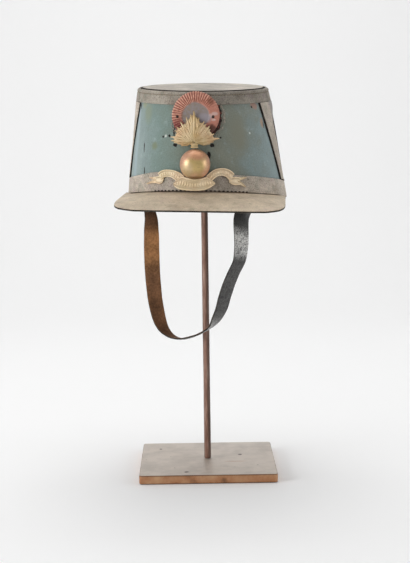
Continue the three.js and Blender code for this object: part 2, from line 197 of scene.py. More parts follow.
hatTurn = np.array(
    Matrix.Rotation(math.radians(hatPose["turn"]), 3, "Z")
    @ Matrix.Rotation(math.radians(hatPose["sideLean"]), 3, "Y")
    @ Matrix.Rotation(math.radians(-hatPose["backLean"]), 3, "X"))


def lerp(a, b, share):
    return a + (b - a) * share


def smoothStep(low, high, value):
    share = np.clip((value - low) / (high - low), 0, 1)
    return share * share * (3 - 2 * share)


def basePoint(angle):
    return np.stack([crown["baseHalfWidth"] * np.sin(angle),
                     -crown["baseHalfLength"] * np.cos(angle), 0 * angle], -1)


def topPoint(angle):
    height = lerp(crown["frontHeight"], crown["rearHeight"], (1 - np.cos(angle)) / 2)
    return np.stack([crown["topShiftX"] + crown["topHalfWidth"] * np.sin(angle),
                     crown["topShiftY"] - crown["topHalfLength"] * np.cos(angle), height], -1)


# A point of the wall at an angle from the front, a share of its height and a distance outside it.
def wallPoint(angle, share, offset):
    angle, share, offset = np.broadcast_arrays(*(np.asarray(v, float) for v in (angle, share, offset)))
    halfWidth = lerp(crown["baseHalfWidth"], crown["topHalfWidth"], share)
    halfLength = lerp(crown["baseHalfLength"], crown["topHalfLength"], share)
    outward = np.stack([np.sin(angle) / halfWidth, -np.cos(angle) / halfLength, 0 * angle], -1)
    outward /= np.linalg.norm(outward, axis=-1, keepdims=True)
    return lerp(basePoint(angle), topPoint(angle), share[..., None]) + outward * offset[..., None]


def wallLength(angle):
    return np.linalg.norm(topPoint(angle) - basePoint(angle), axis=-1)


def shareUp(angle, distance):
    return distance / wallLength(angle)


def shareDown(angle, distance):
    return 1 - distance / wallLength(angle)


# The point before the wall at a given x and z.
def frontPoint(x, z, offset):
    x, z, offset = np.broadcast_arrays(*(np.asarray(v, float) for v in (x, z, offset)))
    angle = 0 * x
    for _ in range(6):
        share = z / topPoint(angle)[..., 2]
        halfWidth = lerp(crown["baseHalfWidth"], crown["topHalfWidth"], share)
        angle = np.arcsin(np.clip((x - crown["topShiftX"] * share) / halfWidth, -1, 1))
    return wallPoint(angle, share, offset)


badge = {"axis": -3.4, "bend": 0.0028, "standOff": 6.3}


# The same on a stiff plate, which bends back less than the wall does.
def platePoint(x, z, offset):
    x, z, offset = np.broadcast_arrays(*(np.asarray(v, float) for v in (x, z, offset)))
    point = frontPoint(0 * x + badge["axis"], z, offset)
    point[..., 0] = x
    point[..., 1] += badge["bend"] * (x - badge["axis"]) ** 2
    return point


# Slow waves from -1 to 1 over angle and height, the same each run.
def waves(angle, height, seed):
    rolls = np.random.default_rng(seed)
    total = 0 * angle + 0 * height
    for turns in (2, 3, 5, 8, 13):
        phase, lift = rolls.uniform(0, 2 * math.pi, 2)
        total = total + np.sin(turns * angle + phase + height * turns * 0.018 + lift) / turns ** 0.6
    return total / 2.4


# Quads over sections that each hold the same count of points, closed round each section.
def skinFaces(sections, around, closed=False):
    faces = []
    for i in range(sections if closed else sections - 1):
        a = i * around
        b = (i + 1) % sections * around
        faces += [(a + j, a + (j + 1) % around, b + (j + 1) % around, b + j) for j in range(around)]
    if not closed:
        faces.append(tuple(range(around)))
        faces.append(tuple(range((sections - 1) * around, sections * around)))
    return faces


# Rounded rectangle as a loop of (across, depth), in millimetres.
def slabLoop(width, thickness, radius, across=6, corner=3):
    loop = []
    for a in np.linspace(radius, width - radius, across):
        loop.append((a, thickness))
    for turn in np.linspace(0, math.pi / 2, corner + 1)[1:]:
        loop.append((width - radius + radius * math.sin(turn), thickness - radius + radius * math.cos(turn)))
    for turn in np.linspace(0, math.pi / 2, corner + 1):
        loop.append((width - radius + radius * math.cos(turn), radius - radius * math.sin(turn)))
    for a in np.linspace(width - radius, radius, across)[1:]:
        loop.append((a, 0))
    for turn in np.linspace(0, math.pi / 2, corner + 1)[1:]:
        loop.append((radius - radius * math.sin(turn), radius - radius * math.cos(turn)))
    for turn in np.linspace(0, math.pi / 2, corner + 1)[:-1]:
        loop.append((radius - radius * math.cos(turn), thickness - radius + radius * math.sin(turn)))
    return np.array(loop)


# Makes a piece from points in millimetres. marks gives each point a place (along, across) that
# the materials read, and choose picks a material for each face.
def addPiece(name, points, faces, materials, nodes=(), onHat=True, marks=None, choose=None):
    points = np.asarray(points, float).reshape(-1, 3)
    if onHat:
        points = points @ hatTurn.T + np.array(hatPose["place"])
    mesh = bpy.data.meshes.new(name)
    mesh.from_pydata((points * mm).tolist(), [], faces)
    for material in materials:
        mesh.materials.append(material)
    if choose is not None:
        mesh.polygons.foreach_set("material_index", choose)
    mesh.polygons.foreach_set("use_smooth", [True] * len(faces))
    if marks is not None:
        layer = mesh.uv_layers.new(name="marks")
        corners = np.empty(len(mesh.loops), int)
        mesh.loops.foreach_get("vertex_index", corners)
        layer.data.foreach_set("uv", (np.asarray(marks, float).reshape(-1, 2)[corners] * mm).ravel())
    mesh.update()
    piece = bpy.data.objects.new(name, mesh)
    bpy.context.collection.objects.link(piece)
    bpy.context.view_layer.objects.active = piece
    bpy.ops.object.select_all(action="DESELECT")
    piece.select_set(True)
    bpy.ops.object.mode_set(mode="EDIT")
    bpy.ops.mesh.select_all(action="SELECT")
    bpy.ops.mesh.normals_make_consistent(inside=False)
    bpy.ops.object.mode_set(mode="OBJECT")
    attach(piece, "root")
    if nodes:
        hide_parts(*nodes)


# Several closed skins as one mesh.
def joinSkins(skins):
    points, faces, marks, start = [], [], [], 0
    for skin in skins:
        sections, around = skin[0].shape[:2]
        points.append(skin[0].reshape(-1, 3))
        marks.append(skin[1].reshape(-1, 2) if len(skin) > 1 else np.zeros((sections * around, 2)))
        faces += [tuple(start + corner for corner in face) for face in skinFaces(sections, around)]
        start += sections * around
    return np.concatenate(points), faces, np.concatenate(marks)


# ---- crown ----

clothLook = {
    "across": [  # from the hat's left side to its right, as (share of the width, colour)
        (0.0, "#8a9b99"), (0.1, "#80918f"), (0.22, "#778a84"), (0.4, "#79857b"), (0.6, "#7e8276"),
        (0.73, "#7b8177"), (0.84, "#7a8784"), (0.95, "#7f9192")],
    "bleached": "#9fb0b0",
    "stain": "#736f58",
    "holeAndShadowDark": "#17130f",
    "nap": 1.3,  # mm, felted fibre, drawn coarser than the real 0.1 mm so that it shows
    "holes": [  # moth holes as (angle in mm round the base from the front, height, half width, half height)
        (-80, 47, 1.0, 4.2), (-76, 22, 0.9, 3.6), (-98, 93, 1.3, 3.2), (-45.5, 57, 1.1, 1.1),
        (104, 75, 0.8, 3.4), (84, 92, 1.2, 1.2), (31, 56, 1.3, 1.0), (-36, 57.5, 1.5, 1.4), (155, 84, 2.0, 2.2),
        # The two at 47.8 mm high, under the flame's wings, are painted shadow of the wings as well as moth holes.
        (-27.5, 47.8, 2.2, 1.5), (19.8, 47.8, 2.4, 1.8), (15.2, 37.5, 2.0, 3.0), (-29, 62.5, 1.3, 4.5)],
    "patches": [  # worn and stained places, as the same four lengths, a colour and a soft edge
        (89, 94, 4.5, 2.6, "#97796c", 0.8), (101, 77, 2.4, 3.4, "#a08874", 0.8), (152, 96, 16, 22, "#8d8783", 0.5),
        (-76, 84, 4, 5, "#7f8c7b", 1.8), (-59, 48, 2.5, 2, "#78836c", 1.8), (74, 63.5, 0.9, 0.9, "#c4ccc8", 0.6),
        (-41.5, 57.5, 1.2, 1.1, "#c9ccc6", 0.4), (-86, 93, 3, 2, "#8c947c", 1.6), (56, 60, 6, 10, "#7c7e70", 2.0),
        (-102, 52, 3, 40, "#93a5a9", 1.5)],
}


# A mask that is 1 within an oval spot of the marks plane, with a ragged edge.
def addSpot(tree, place, raggedness, spot, softness):
    x, y, halfWidth, halfHeight = (v * mm for v in spot)
    shifted = addNode(tree, "VectorMath", {"operation": "SUBTRACT", 1: (x, y, 0)}, {0: place})
    scaled = addNode(tree, "VectorMath", {"operation": "DIVIDE", 1: (halfWidth, halfHeight, 1)}, {0: shifted})
    length = addNode(tree, "VectorMath", {"operation": "LENGTH"}, {0: scaled})
    rough = addNode(tree, "Math", {"operation": "ADD"}, {0: length.outputs["Value"], 1: raggedness})
    return addNode(tree, "MapRange", {"From Min": 1.0 + softness, "From Max": 1.0}, {"Value": rough})


# Paints spots over a colour, each (x, y, half width, half height, colour, soft edge).
def paintSpots(tree, place, raggedness, spots, colour):
    masks = []
    for *oval, paint, softness in spots:
        masks.append(addSpot(tree, place, raggedness, oval, softness))
        mixed = addNode(tree, "Mix", {"data_type": "RGBA", 7: toLinear(paint)}, {"Factor": masks[-1], 6: colour})
        colour = mixed.outputs[2]
    return colour, masks


# Fulled wool cloth: a felted nap hides the weave, so it is matt, a little hairy, and fades
# and stains in cloudy patches.
def makeCloth(look):
    material, tree = newMaterial("fulledWoolCloth", {
        "Roughness": 0.95, "Specular IOR Level": 0.2, "Sheen Weight": 0.25, "Sheen Roughness": 0.6})
    place = addNode(tree, "TexCoord").outputs["Object"]
    marks = addNode(tree, "UVMap", {"uv_map": "marks"})
    split = addNode(tree, "SeparateXYZ", None, {0: place})
    cloud = addNode(tree, "TexNoise", {"Scale": 32, "Detail": 4, "Roughness": 0.6}, {"Vector": place})
    wander = addNode(tree, "Math", {"operation": "MULTIPLY_ADD", 1: 0.08, 2: -0.04}, {0: cloud})
    side = addNode(tree, "Math", {"operation": "ADD"}, {0: split.outputs["X"], 1: wander})
    sideShare = addNode(tree, "MapRange", {"From Min": -0.08, "From Max": 0.08}, {"Value": side})
    base = addNode(tree, "ValToRGB", {"ramp": look["across"]}, {"Fac": sideShare})
    bleaching = addNode(tree, "TexNoise", {"Scale": 120, "Detail": 6, "Roughness": 0.7}, {"Vector": place})
    bleach = addNode(tree, "MapRange", {"From Min": 0.55, "From Max": 0.8, "To Max": 0.6}, {"Value": bleaching})
    faded = addNode(tree, "Mix", {"data_type": "RGBA", 7: toLinear(look["bleached"])},
                    {"Factor": bleach, 6: base})
    spots = addNode(tree, "TexNoise", {"Scale": 62, "Detail": 3, "Roughness": 0.55}, {"Vector": place})
    spotShare = addNode(tree, "MapRange", {"From Min": 0.6, "From Max": 0.78, "To Max": 0.35}, {"Value": spots})
    stained = addNode(tree, "Mix", {"data_type": "RGBA", 7: toLinear(look["stain"])},
                      {"Factor": spotShare, 6: faded.outputs[2]})
    nap = addNode(tree, "TexNoise", {"Scale": 1 / (look["nap"] * mm), "Detail": 3, "Roughness": 0.7},
                  {"Vector": place})
    napTone = addNode(tree, "MapRange", {"From Min": 0.25, "From Max": 0.75, "To Min": 0.8, "To Max": 1.2},
                      {"Value": nap})
    napped = addNode(tree, "VectorMath", {"operation": "SCALE"}, {0: stained.outputs[2], "Scale": napTone})
    ragged = addNode(tree, "TexNoise", {"Scale": 420, "Detail": 2}, {"Vector": place})
    raggedness = addNode(tree, "MapRange", {"To Min": -0.7, "To Max": 0.7}, {"Value": ragged})
    colour, _ = paintSpots(tree, marks, raggedness, look["patches"], napped.outputs[0])
    holes = [(*oval, look["holeAndShadowDark"], 0.25) for oval in look["holes"]]
    colour, (depth, *others) = paintSpots(tree, marks, raggedness, holes, colour)
    for mask in others:
        depth = addNode(tree, "Math", {"operation": "MAXIMUM"}, {0: depth, 1: mask})
    relief = addNode(tree, "Math", {"operation": "MULTIPLY_ADD", 1: -2.0}, {0: depth, 2: nap})
    finishSurface(tree, {"Base Color": colour}, relief, 0.55, 0.5)
    return material


# Wool felt stiffened with shellac: dark brown, hard and dull inside the crown.
def makeStiffFelt():
    material, tree = newMaterial("shellackedFelt", {"Roughness": 0.85, "Specular IOR Level": 0.3})
    place = addNode(tree, "TexCoord").outputs["Object"]
    fibres = addNode(tree, "TexNoise", {"Scale": 500, "Detail": 4}, {"Vector": place})
    colour = addNode(tree, "ValToRGB", {"ramp": [(0.3, "#3b2f26"), (0.7, "#5c4a3a")]}, {"Fac": fibres})
    finishSurface(tree, {"Base Color": colour}, fibres, 0.4, 0.4)
    return material


# Leather lacquered black long ago: the lacquer has crazed and rubbed off, and dust has
# settled in, so it is a chalky grey-brown with purplish and greenish remains.
bandLook = {
    "dust": "#a39b8e",
    "bare": "#8b7f72",
    "lacquer": "#5f5750",
    "plum": "#8d7a7c",
    "moss": "#7b8072",
    "crazing": 2.2,  # mm between cracks
}


# tones scale the colour from the hat's left side to its right, as (share, factor) stops; on the bands and the top they
# are painted light and shade.
def makeWornLacquer(name, look, roughness=0.7, coat=0.0, tones=((0, 0.5), (1, 0.5)), crackDepth=0.38,
                    smudges=0.35):
    material, tree = newMaterial(name, {
        "Roughness": roughness, "Specular IOR Level": 0.4, "Coat Weight": coat, "Coat Roughness": 0.35})
    place = addNode(tree, "TexCoord").outputs["Object"]
    cloud = addNode(tree, "TexNoise", {"Scale": 55, "Detail": 5, "Roughness": 0.65}, {"Vector": place})
    base = addNode(tree, "ValToRGB", {"ramp": [
        (0.34, look["bare"]), (0.5, look["dust"]), (0.68, look["dust"])]}, {"Fac": cloud})
    tint = addNode(tree, "TexNoise", {"Scale": 95, "Detail": 3}, {"Vector": place})
    plum = addNode(tree, "MapRange", {"From Min": 0.55, "From Max": 0.7, "To Max": 0.55}, {"Value": tint})
    plummed = addNode(tree, "Mix", {"data_type": "RGBA", 7: toLinear(look["plum"])},
                      {"Factor": plum, 6: base.outputs[0]})
    moss = addNode(tree, "MapRange", {"From Min": 0.42, "From Max": 0.3, "To Max": 0.5}, {"Value": tint})
    mossed = addNode(tree, "Mix", {"data_type": "RGBA", 7: toLinear(look["moss"])},
                     {"Factor": moss, 6: plummed.outputs[2]})
    grit = addNode(tree, "TexNoise", {"Scale": 620, "Detail": 3, "Roughness": 0.7}, {"Vector": place})
    remains = addNode(tree, "MapRange", {"From Min": 0.56, "From Max": 0.66, "To Max": 0.75}, {"Value": grit})
    scuffed = addNode(tree, "Mix", {"data_type": "RGBA", 7: toLinear(look["lacquer"])},
                      {"Factor": remains, 6: mossed.outputs[2]})
    cracks = addNode(tree, "TexVoronoi", {"feature": "DISTANCE_TO_EDGE", "Scale": 1 / (look["crazing"] * mm)},
                     {"Vector": place})
    crack = addNode(tree, "MapRange", {"From Min": 0.0, "From Max": 0.09, "To Min": 1 - crackDepth, "To Max": 1.0},
                    {"Value": cracks})
    split = addNode(tree, "SeparateXYZ", None, {0: place})
    across = addNode(tree, "MapRange", {"From Min": -0.09, "From Max": 0.09}, {"Value": split.outputs["X"]})
    tone = addNode(tree, "ValToRGB", {"ramp": list(tones)}, {"Fac": across})
    smudge = addNode(tree, "TexNoise", {"Scale": 48, "Detail": 6, "Roughness": 0.7}, {"Vector": place})
    smudged = addNode(tree, "MapRange", {
        "From Min": 0.3, "From Max": 0.7, "To Min": 2 - smudges, "To Max": 2 + smudges}, {"Value": smudge})
    toneTwice = addNode(tree, "Math", {"operation": "MULTIPLY"}, {0: tone, 1: smudged})
    scale = addNode(tree, "Math", {"operation": "MULTIPLY"}, {0: toneTwice, 1: crack})
    crazed = addNode(tree, "VectorMath", {"operation": "SCALE"}, {0: scuffed.outputs[2], "Scale": scale})
    relief = addNode(tree, "Math", {"operation": "MULTIPLY_ADD", 1: 0.6}, {0: grit, 2: crack})
    finishSurface(tree, {"Base Color": crazed}, relief, 0.5, 0.35)
    return material


# Cut or dirty leather edge: blackened with old edge dye, with the bare colour worn through. Where it lines a gap it is
# also painted shade.
def makeEdgeDye(name, dark, worn):
    material, tree = newMaterial(name, {"Roughness": 0.7, "Specular IOR Level": 0.3})
    place = addNode(tree, "TexCoord").outputs["Object"]
    wear = addNode(tree, "TexNoise", {"Scale": 260, "Detail": 4}, {"Vector": place})
    colour = addNode(tree, "ValToRGB", {"ramp": [(0.45, dark), (0.72, worn)]}, {"Fac": wear})
    finishSurface(tree, {"Base Color": colour})
    return material


bottomLook = {
    **bandLook, "dust": "#bfb4a6", "bare": "#a79b8c", "lacquer": "#6b6159", "plum": "#a99798", "moss": "#97998b"}
# Both bands' tones are painted light and shade: lighter towards the hat's sides, darkest a little right of the front.
wornLacquer = makeWornLacquer("crazedLacquerLeather", bandLook, tones=[
    (0.0, 0.52), (0.3, 0.52), (0.5, 0.4), (0.62, 0.36), (0.8, 0.37), (1.0, 0.5)])
dustyLacquer = makeWornLacquer("dustedLacquerLeather", bottomLook, smudges=0.55, tones=[
    (0.0, 0.58), (0.2, 0.52), (0.38, 0.42), (0.6, 0.34), (0.72, 0.46), (1.0, 0.54)])
edgeDye = makeEdgeDye("edgeDyedLeatherAndGapShade", "#1c1815", "#4f463d")


def addCrown():
    angle = np.linspace(0, 2 * math.pi, crown["steps"], endpoint=False)[:, None]
    outerRows, innerRows = 90, 12
    rise = np.linspace(0, 1, outerRows)[None, :]
    top = shareDown(angle, crown["openAbove"])
    share = rise * top
    height = share * wallLength(angle)
    unevenness = crown["unevenness"] * waves(angle, height, 3)
    gusset = np.exp(-((angle - 1.62) / 0.1) ** 2 - ((share - 0.84) / 0.1) ** 2)
    fade = smoothStep(0, 0.1, share) * smoothStep(0, 0.08, top - share)
    outer = wallPoint(angle, share, unevenness * fade + 2.4 * gusset * fade)
    inner = wallPoint(angle, np.linspace(1, 0, innerRows)[None, :] * top, -crown["wall"])
    points = np.concatenate([outer, inner], 1)
    around = (angle + math.pi) % (2 * math.pi) - math.pi
    along = around * crown["marksRadius"] + 0 * rise
    marks = np.concatenate([np.stack([along, height], -1), np.zeros((crown["steps"], innerRows, 2))], 1)
    rows = outerRows + innerRows
    faces = skinFaces(crown["steps"], rows, closed=True)
    choose = [1 if j >= outerRows - 1 else 0 for _ in range(crown["steps"]) for j in range(rows)]
    addPiece("crownCloth", points, faces, [makeCloth(clothLook), makeStiffFelt()],
             ["crown_body"], marks=marks, choose=choose)


addCrown()
print("crown done")

# ---- crown top ----

# The top's pale colours are dust together with a painted sheen.
topLook = {
    "dust": "#b3a99b",
    "bare": "#9f9586",
    "lacquer": "#8a8272",
    "plum": "#aa9f98",
    "moss": "#a39f8c",
    "crazing": 4.5,
}
topShape = {
    "edgeInset": 4.4, "lipFront": 1.5, "lipRear": -0.2, "dome": 0.7, "seat": 2.6, "underside": 5.0,
    "slope": 0.1717,  # radians, how much the crown's top falls towards the front
    "steps": 240, "rings": 40}


# Domed leather disc, whose turned edge stands a little way inside the rim.
def addCrownTop(shape):
    steps = shape["steps"]
    angle = np.linspace(0, 2 * math.pi, steps, endpoint=False)
    ends = [wallPoint(a, shareDown(a, shape["seat"]), 0) for a in (0.0, math.pi)]
    centre = (ends[0] + ends[1]) / 2
    up = np.array([0, -math.sin(shape["slope"]), math.cos(shape["slope"])])
    edge = wallPoint(angle, shareDown(angle, shape["seat"]), -shape["edgeInset"])
    # The disc has warped, so it stands a little higher at the front.
    lip = lerp(shape["lipFront"], shape["lipRear"], (1 - np.cos(angle)) / 2)[:, None]
    middle = (shape["lipFront"] + shape["lipRear"]) / 2
    rings = [centre + 0 * edge - up * (shape["underside"] - shape["seat"]),
             edge - up * (shape["underside"] - shape["seat"]), edge, edge + up * (shape["seat"] + lip - 0.5)]
    rim = len(rings)
    for share in np.linspace(0.995, 0.0, shape["rings"]):
        lift = shape["seat"] + lerp(middle, lip, share) + shape["dome"] * (1 - share ** 2) ** 1.2
        lift = lift + 0.12 * waves(angle, 120 * share, 11)[:, None] * smoothStep(0, 0.3, share)
        rings.append(centre + (edge - centre) * share + up * lift)
    points = np.stack(rings, 0)
    faces = []
    for i in range(len(rings) - 1):
        low, high = i * steps, (i + 1) * steps
        faces += [(low + j, low + (j + 1) % steps, high + (j + 1) % steps, high + j) for j in range(steps)]
    # The disc's turned edge takes the dark edge material: edge dye and painted shade for the gap by the rim's bead.
    choose = [1 if 1 <= i < rim else 0 for i in range(len(rings) - 1) for _ in range(steps)]
    # Its tones are a painted sheen, lightest a little right of the middle.
    polished = makeWornLacquer("polishedLacquerLeather", topLook, 0.55, 0.2, crackDepth=0.12, smudges=0.9, tones=[
        (0, 0.54), (0.3, 0.5), (0.55, 0.41), (0.72, 0.58), (1, 0.48)])
    addPiece("crownTopLeather", points, faces, [polished, edgeDye], ["crown_top"], choose=choose)
    bpy.ops.object.mode_set(mode="EDIT")
    bpy.ops.mesh.remove_doubles(threshold=0.01 * mm)
    bpy.ops.mesh.normals_make_consistent(inside=False)
    bpy.ops.object.mode_set(mode="OBJECT")


addCrownTop(topShape)


# ---- bands ----

bandShape = {
    "bottom": {"width": 17.6, "extraFrontLeft": 2.8},
    "steps": 360,
}


def bottomBandWidth(angle):
    fromFrontLeft = np.arctan2(np.sin(angle + 0.5), np.cos(angle + 0.5))
    shape = bandShape["bottom"]
    return shape["width"] + shape["extraFrontLeft"] * np.exp(-(fromFrontLeft / 0.35) ** 2)


def addTopBand():
    angle = np.linspace(0, 2 * math.pi, bandShape["steps"], endpoint=False)
    wave = waves(angle, 0, 21)
    # The bead at the rim and the stitched groove below it, as (depth below the rim, offset).
    profile = [(13.8, 0.3), (13.8, 1.2), (13.6, 1.5), (12, 1.55), (10, 1.45), (8, 1.3), (6, 1.15), (4.9, 1.05),
               (4.4, 0.85), (4.1, 0.55), (3.8, 0.55), (3.5, 0.85), (3.1, 1.15), (2.5, 1.2), (1.7, 0.95), (0.9, 0.45),
               (0.3, -0.25), (0.05, -0.8), (0.0, -1.2), (0.25, -1.7), (0.7, -2.1), (1.3, -2.2), (1.85, -2.1),
               (1.85, 0.3), (6, 0.3)]
    lines = []
    for depth, offset in profile:
        sag = 0.35 * wave * (1 if depth > 12 else 0)
        lines.append(wallPoint(angle, shareDown(angle, depth + sag), offset + 0.12 * waves(angle, depth * 4, 5)))
    points = np.stack(lines, 1)
    around = len(profile)
    # The dark edge material goes on the bottom edge, the bottom of the stitched groove and the inside of the bead;
    # inside the bead it is edge dye and painted shade for the gap by the top disc.
    choose = [1 if j in (0, 9, 20, 21, 22) else 0 for _ in angle for j in range(around)]
    addPiece("topBandLeather", points, skinFaces(len(angle), around, closed=True), [wornLacquer, edgeDye],
             ["top_band"], choose=choose)


def addBottomBand():
    angle = np.linspace(0, 2 * math.pi, bandShape["steps"], endpoint=False)
    width = bottomBandWidth(angle) + 0.35 * waves(angle, 0, 33)
    profile = [(0.0, 0.3), (0.0, 1.35), (0.015, 1.62), (0.05, 1.7), (0.2, 1.7), (0.4, 1.7), (0.6, 1.7), (0.8, 1.7),
               (0.95, 1.68), (0.99, 1.5), (1.0, 1.2), (1.0, 0.3), (0.5, 0.3)]
    lines = []
    for part, offset in profile:
        ripple = 0.22 * waves(angle, part * 40, 9) if 0 < part < 1 else 0
        lines.append(wallPoint(angle, shareUp(angle, part * width), offset + ripple))
    points = np.stack(lines, 1)
    around = len(profile)
    choose = [1 if j in (0, 10) else 0 for _ in angle for j in range(around)]
    addPiece("bottomBandLeather", points, skinFaces(len(angle), around, closed=True), [dustyLacquer, edgeDye],
             ["bottom_band"], choose=choose)


addTopBand()
addBottomBand()
print("bands done")


# ---- side chevrons ----

chevronShape = {
    "outerTop": 30, "outerBottom": 13, "innerTop": 8.5, "apexHeight": 30,  # degrees, and the last in mm
    "legs": 40, "foot": 16, "apexHalfAngle": 0.4, "bandGap": 0.4, "belowRim": 14.1}


def addChevron(side):
    shape = chevronShape
    middle = side * math.pi / 2
    steps = 2 * shape["legs"] + shape["foot"]
    index = np.arange(steps + 1)
    down = np.minimum(np.minimum(index, steps - index), shape["legs"]) / shape["legs"]
    turn = np.clip((index - shape["legs"]) / shape["foot"], 0, 1) * 2 - 1
    outerAngle = middle + np.radians(lerp(shape["outerTop"], shape["outerBottom"], down) * turn)
    innerAngle = middle + np.radians(lerp(shape["innerTop"], shape["apexHalfAngle"], down) * turn)
    footHeight = bottomBandWidth(outerAngle) + shape["bandGap"]
    outerShare = lerp(shareDown(outerAngle, shape["belowRim"]), shareUp(outerAngle, footHeight), down)
    innerShare = lerp(shareDown(innerAngle, shape["belowRim"]), shareUp(innerAngle, shape["apexHeight"]), down)
    loop = [(0.0, 0.2), (0.0, 1.0), (0.012, 1.35), (0.04, 1.5), (0.055, 1.38), (0.07, 1.5), (0.2, 1.5), (0.4, 1.5),
            (0.6, 1.5), (0.8, 1.5), (0.93, 1.5), (0.945, 1.38), (0.96, 1.5), (0.985, 1.35), (1.0, 1.0), (1.0, 0.3),
            (0.5, 0.3)]
    lines = []
    for part, offset in loop:
        angle = lerp(outerAngle, innerAngle, part)
        lift = 0.25 * waves(angle, 100 * part * down, 41) + (0.5 if part < 0.1 else 0) * (offset > 0.5)
        lines.append(wallPoint(angle, lerp(outerShare, innerShare, part), offset + np.where(offset > 0.5, lift, 0)))
    points = np.stack(lines, 1)
    around = len(loop)
    # On the right chevron the dark edge material runs from the outer edge onto the face beside it: edge dye and painted
    # shade for the gap between the strip and the cloth.
    dark = (0, 1, 2) if side > 0 else (0,)
    choose = [1 if j in dark + (12, 13, 14) else 0 for _ in range(steps) for j in range(around)] + [1, 1]
    name = "Right" if side > 0 else "Left"
    addPiece("chevronLeather" + name, points, skinFaces(steps + 1, around), [dustyLacquer, edgeDye],
             ["chevron_" + name.lower()], choose=choose)


addChevron(-1)
addChevron(1)


# ---- lining band ----

liningShape = {"low": 0.5, "high": 38, "offset": -2.95, "thickness": 1.1, "steps": 240}


# Vegetable-tanned sheepskin lining: smooth, tan-brown and darkened by wear.
def makeLining():
    material, tree = newMaterial("tannedSheepskin", {"Roughness": 0.6, "Specular IOR Level": 0.4})
    place = addNode(tree, "TexCoord").outputs["Object"]
    wear = addNode(tree, "TexNoise", {"Scale": 40, "Detail": 6, "Roughness": 0.6}, {"Vector": place})
    colour = addNode(tree, "ValToRGB", {"ramp": [(0.35, "#4a3423"), (0.55, "#6f5235"), (0.72, "#8a6b47")]},
                     {"Fac": wear})
    grain = addNode(tree, "TexVoronoi", {"Scale": 900}, {"Vector": place})
    finishSurface(tree, {"Base Color": colour}, grain.outputs["Distance"], 0.35, 0.2)
    return material


def addLining(shape):
    angle = np.linspace(0, 2 * math.pi, shape["steps"], endpoint=False)
    inside = shape["offset"] - shape["thickness"]
    profile = [(shape["low"], shape["offset"]), (shape["low"], inside + 0.3), (shape["low"] + 0.6, inside)]
    profile += [(height, inside) for height in (4, 10, 18, 26, 33)]
    profile += [(shape["high"] - 0.3, inside + 0.1), (shape["high"], inside + 0.5), (shape["high"], shape["offset"])]
    lines = []
    for height, offset in profile:
        pucker = 0.35 * np.sin(angle * 46) * smoothStep(24, 38, height) if offset < shape["offset"] - 0.2 else 0
        lines.append(wallPoint(angle, shareUp(angle, height), offset + pucker * 0.4))
    points = np.stack(lines, 1)
    addPiece("liningLeather", points, skinFaces(shape["steps"], len(profile), closed=True), [makeLining()],
             ["sweatband"])


addLining(liningShape)
print("chevrons and lining done")


# ---- visor ----

visorShape = {
    "halfWidth": 88.2, "reach": 155, "sideStart": 33.5, "shiftX": 2.9, "squareness": 7.4,
    "drop": 20.9, "thickness": 2.6, "innerEdge": 1.6, "cornerLift": 1.6, "rightTaper": 3.2, "steps": 240}

visorLook = {
    "dust": "#c4b39b",
    "bare": "#b3a189",
    "lacquer": "#8f816d",
    "plum": "#b8a394",
    "moss": "#ada289",
    "crazing": 7,
}


def addVisor(shape):
    power = 2 / shape["squareness"]
    share = np.linspace(0, 1, shape["steps"])
    turn = np.clip(lerp(-math.pi / 2, math.pi / 2, share), -math.pi / 2 + 1e-6, math.pi / 2 - 1e-6)
    sine = np.sign(np.sin(turn)) * np.abs(np.sin(turn)) ** power
    forward = np.cos(turn) ** power
    outer = np.stack([shape["shiftX"] + shape["halfWidth"] * sine,
                      -shape["sideStart"] - (shape["reach"] - shape["sideStart"]) * forward,
                      -shape["drop"] * forward], -1)
    endAngle = math.acos(shape["sideStart"] / crown["baseHalfLength"])
    outer[:, 0] -= shape["rightTaper"] * smoothStep(0.75, 0.0, forward) * (outer[:, 0] > 0)
    inner = wallPoint(endAngle * (2 * share - 1), 0, -shape["innerEdge"])
    reach = np.linalg.norm(inner - outer, axis=-1)
    thick = shape["thickness"]
    # Two layers of leather meet in a groove along the edge, as (mm in from the edge, depth).
    edge = [(2.2, 0.0), (1.2, 0.08), (0.5, 0.28), (0.1, 0.65), (0.0, 1.0), (0.12, 1.25), (0.55, 1.38), (0.12, 1.52),
            (0.0, 1.75), (0.08, 2.1), (0.4, 2.4), (1.2, 2.58), (2.2, thick)]
    lines = []
    for part in np.linspace(1, 0.06, 24):
        lines.append((part, 0.0, None))
    for inset, depth in edge:
        lines.append((0, depth, inset))
    for part in np.linspace(0.06, 1, 16):
        lines.append((part, thick, None))
    loops = []
    for part, depth, inset in lines:
        along = np.full(shape["steps"], part) if inset is None else inset / np.maximum(reach, 6)
        swell = 1.6 * np.sin(math.pi * np.clip(along, 0, 1)) * smoothStep(6, 40, reach)
        point = lerp(outer, inner, along[:, None])
        ripple = 0.25 * waves(turn * 2, along * 60, 51)
        point[:, 2] += swell + ripple - 0.3 - depth
        point[:, 2] += shape["cornerLift"] * smoothStep(-55, -88, point[:, 0]) * (1 - along)
        loops.append(point)
    points = np.stack(loops, 1)
    around = len(loops)
    choose = []
    for _ in range(shape["steps"] - 1):
        choose += [0 if j < 24 + 3 else 1 if j < 24 + 9 else 2 for j in range(around)]
    choose += [1, 1]
    top = makeWornLacquer("buffedVisorLeather", visorLook, 0.62, 0.1, crackDepth=0.05, smudges=0.5, tones=[
        (0, 0.55), (0.3, 0.49), (0.55, 0.47), (0.8, 0.54), (1, 0.56)])
    under = makeWornLacquer("visorLiningLeather", {
        "dust": "#6b6455", "bare": "#575044", "lacquer": "#3a352d", "plum": "#5f5145", "moss": "#575c48",
        "crazing": 3}, 0.6)
    addPiece("visorLeather", points, skinFaces(shape["steps"], around), [top, edgeDye, under], ["visor"],
             choose=choose)


addVisor(visorShape)
print("visor done")


# ---- cockade ----

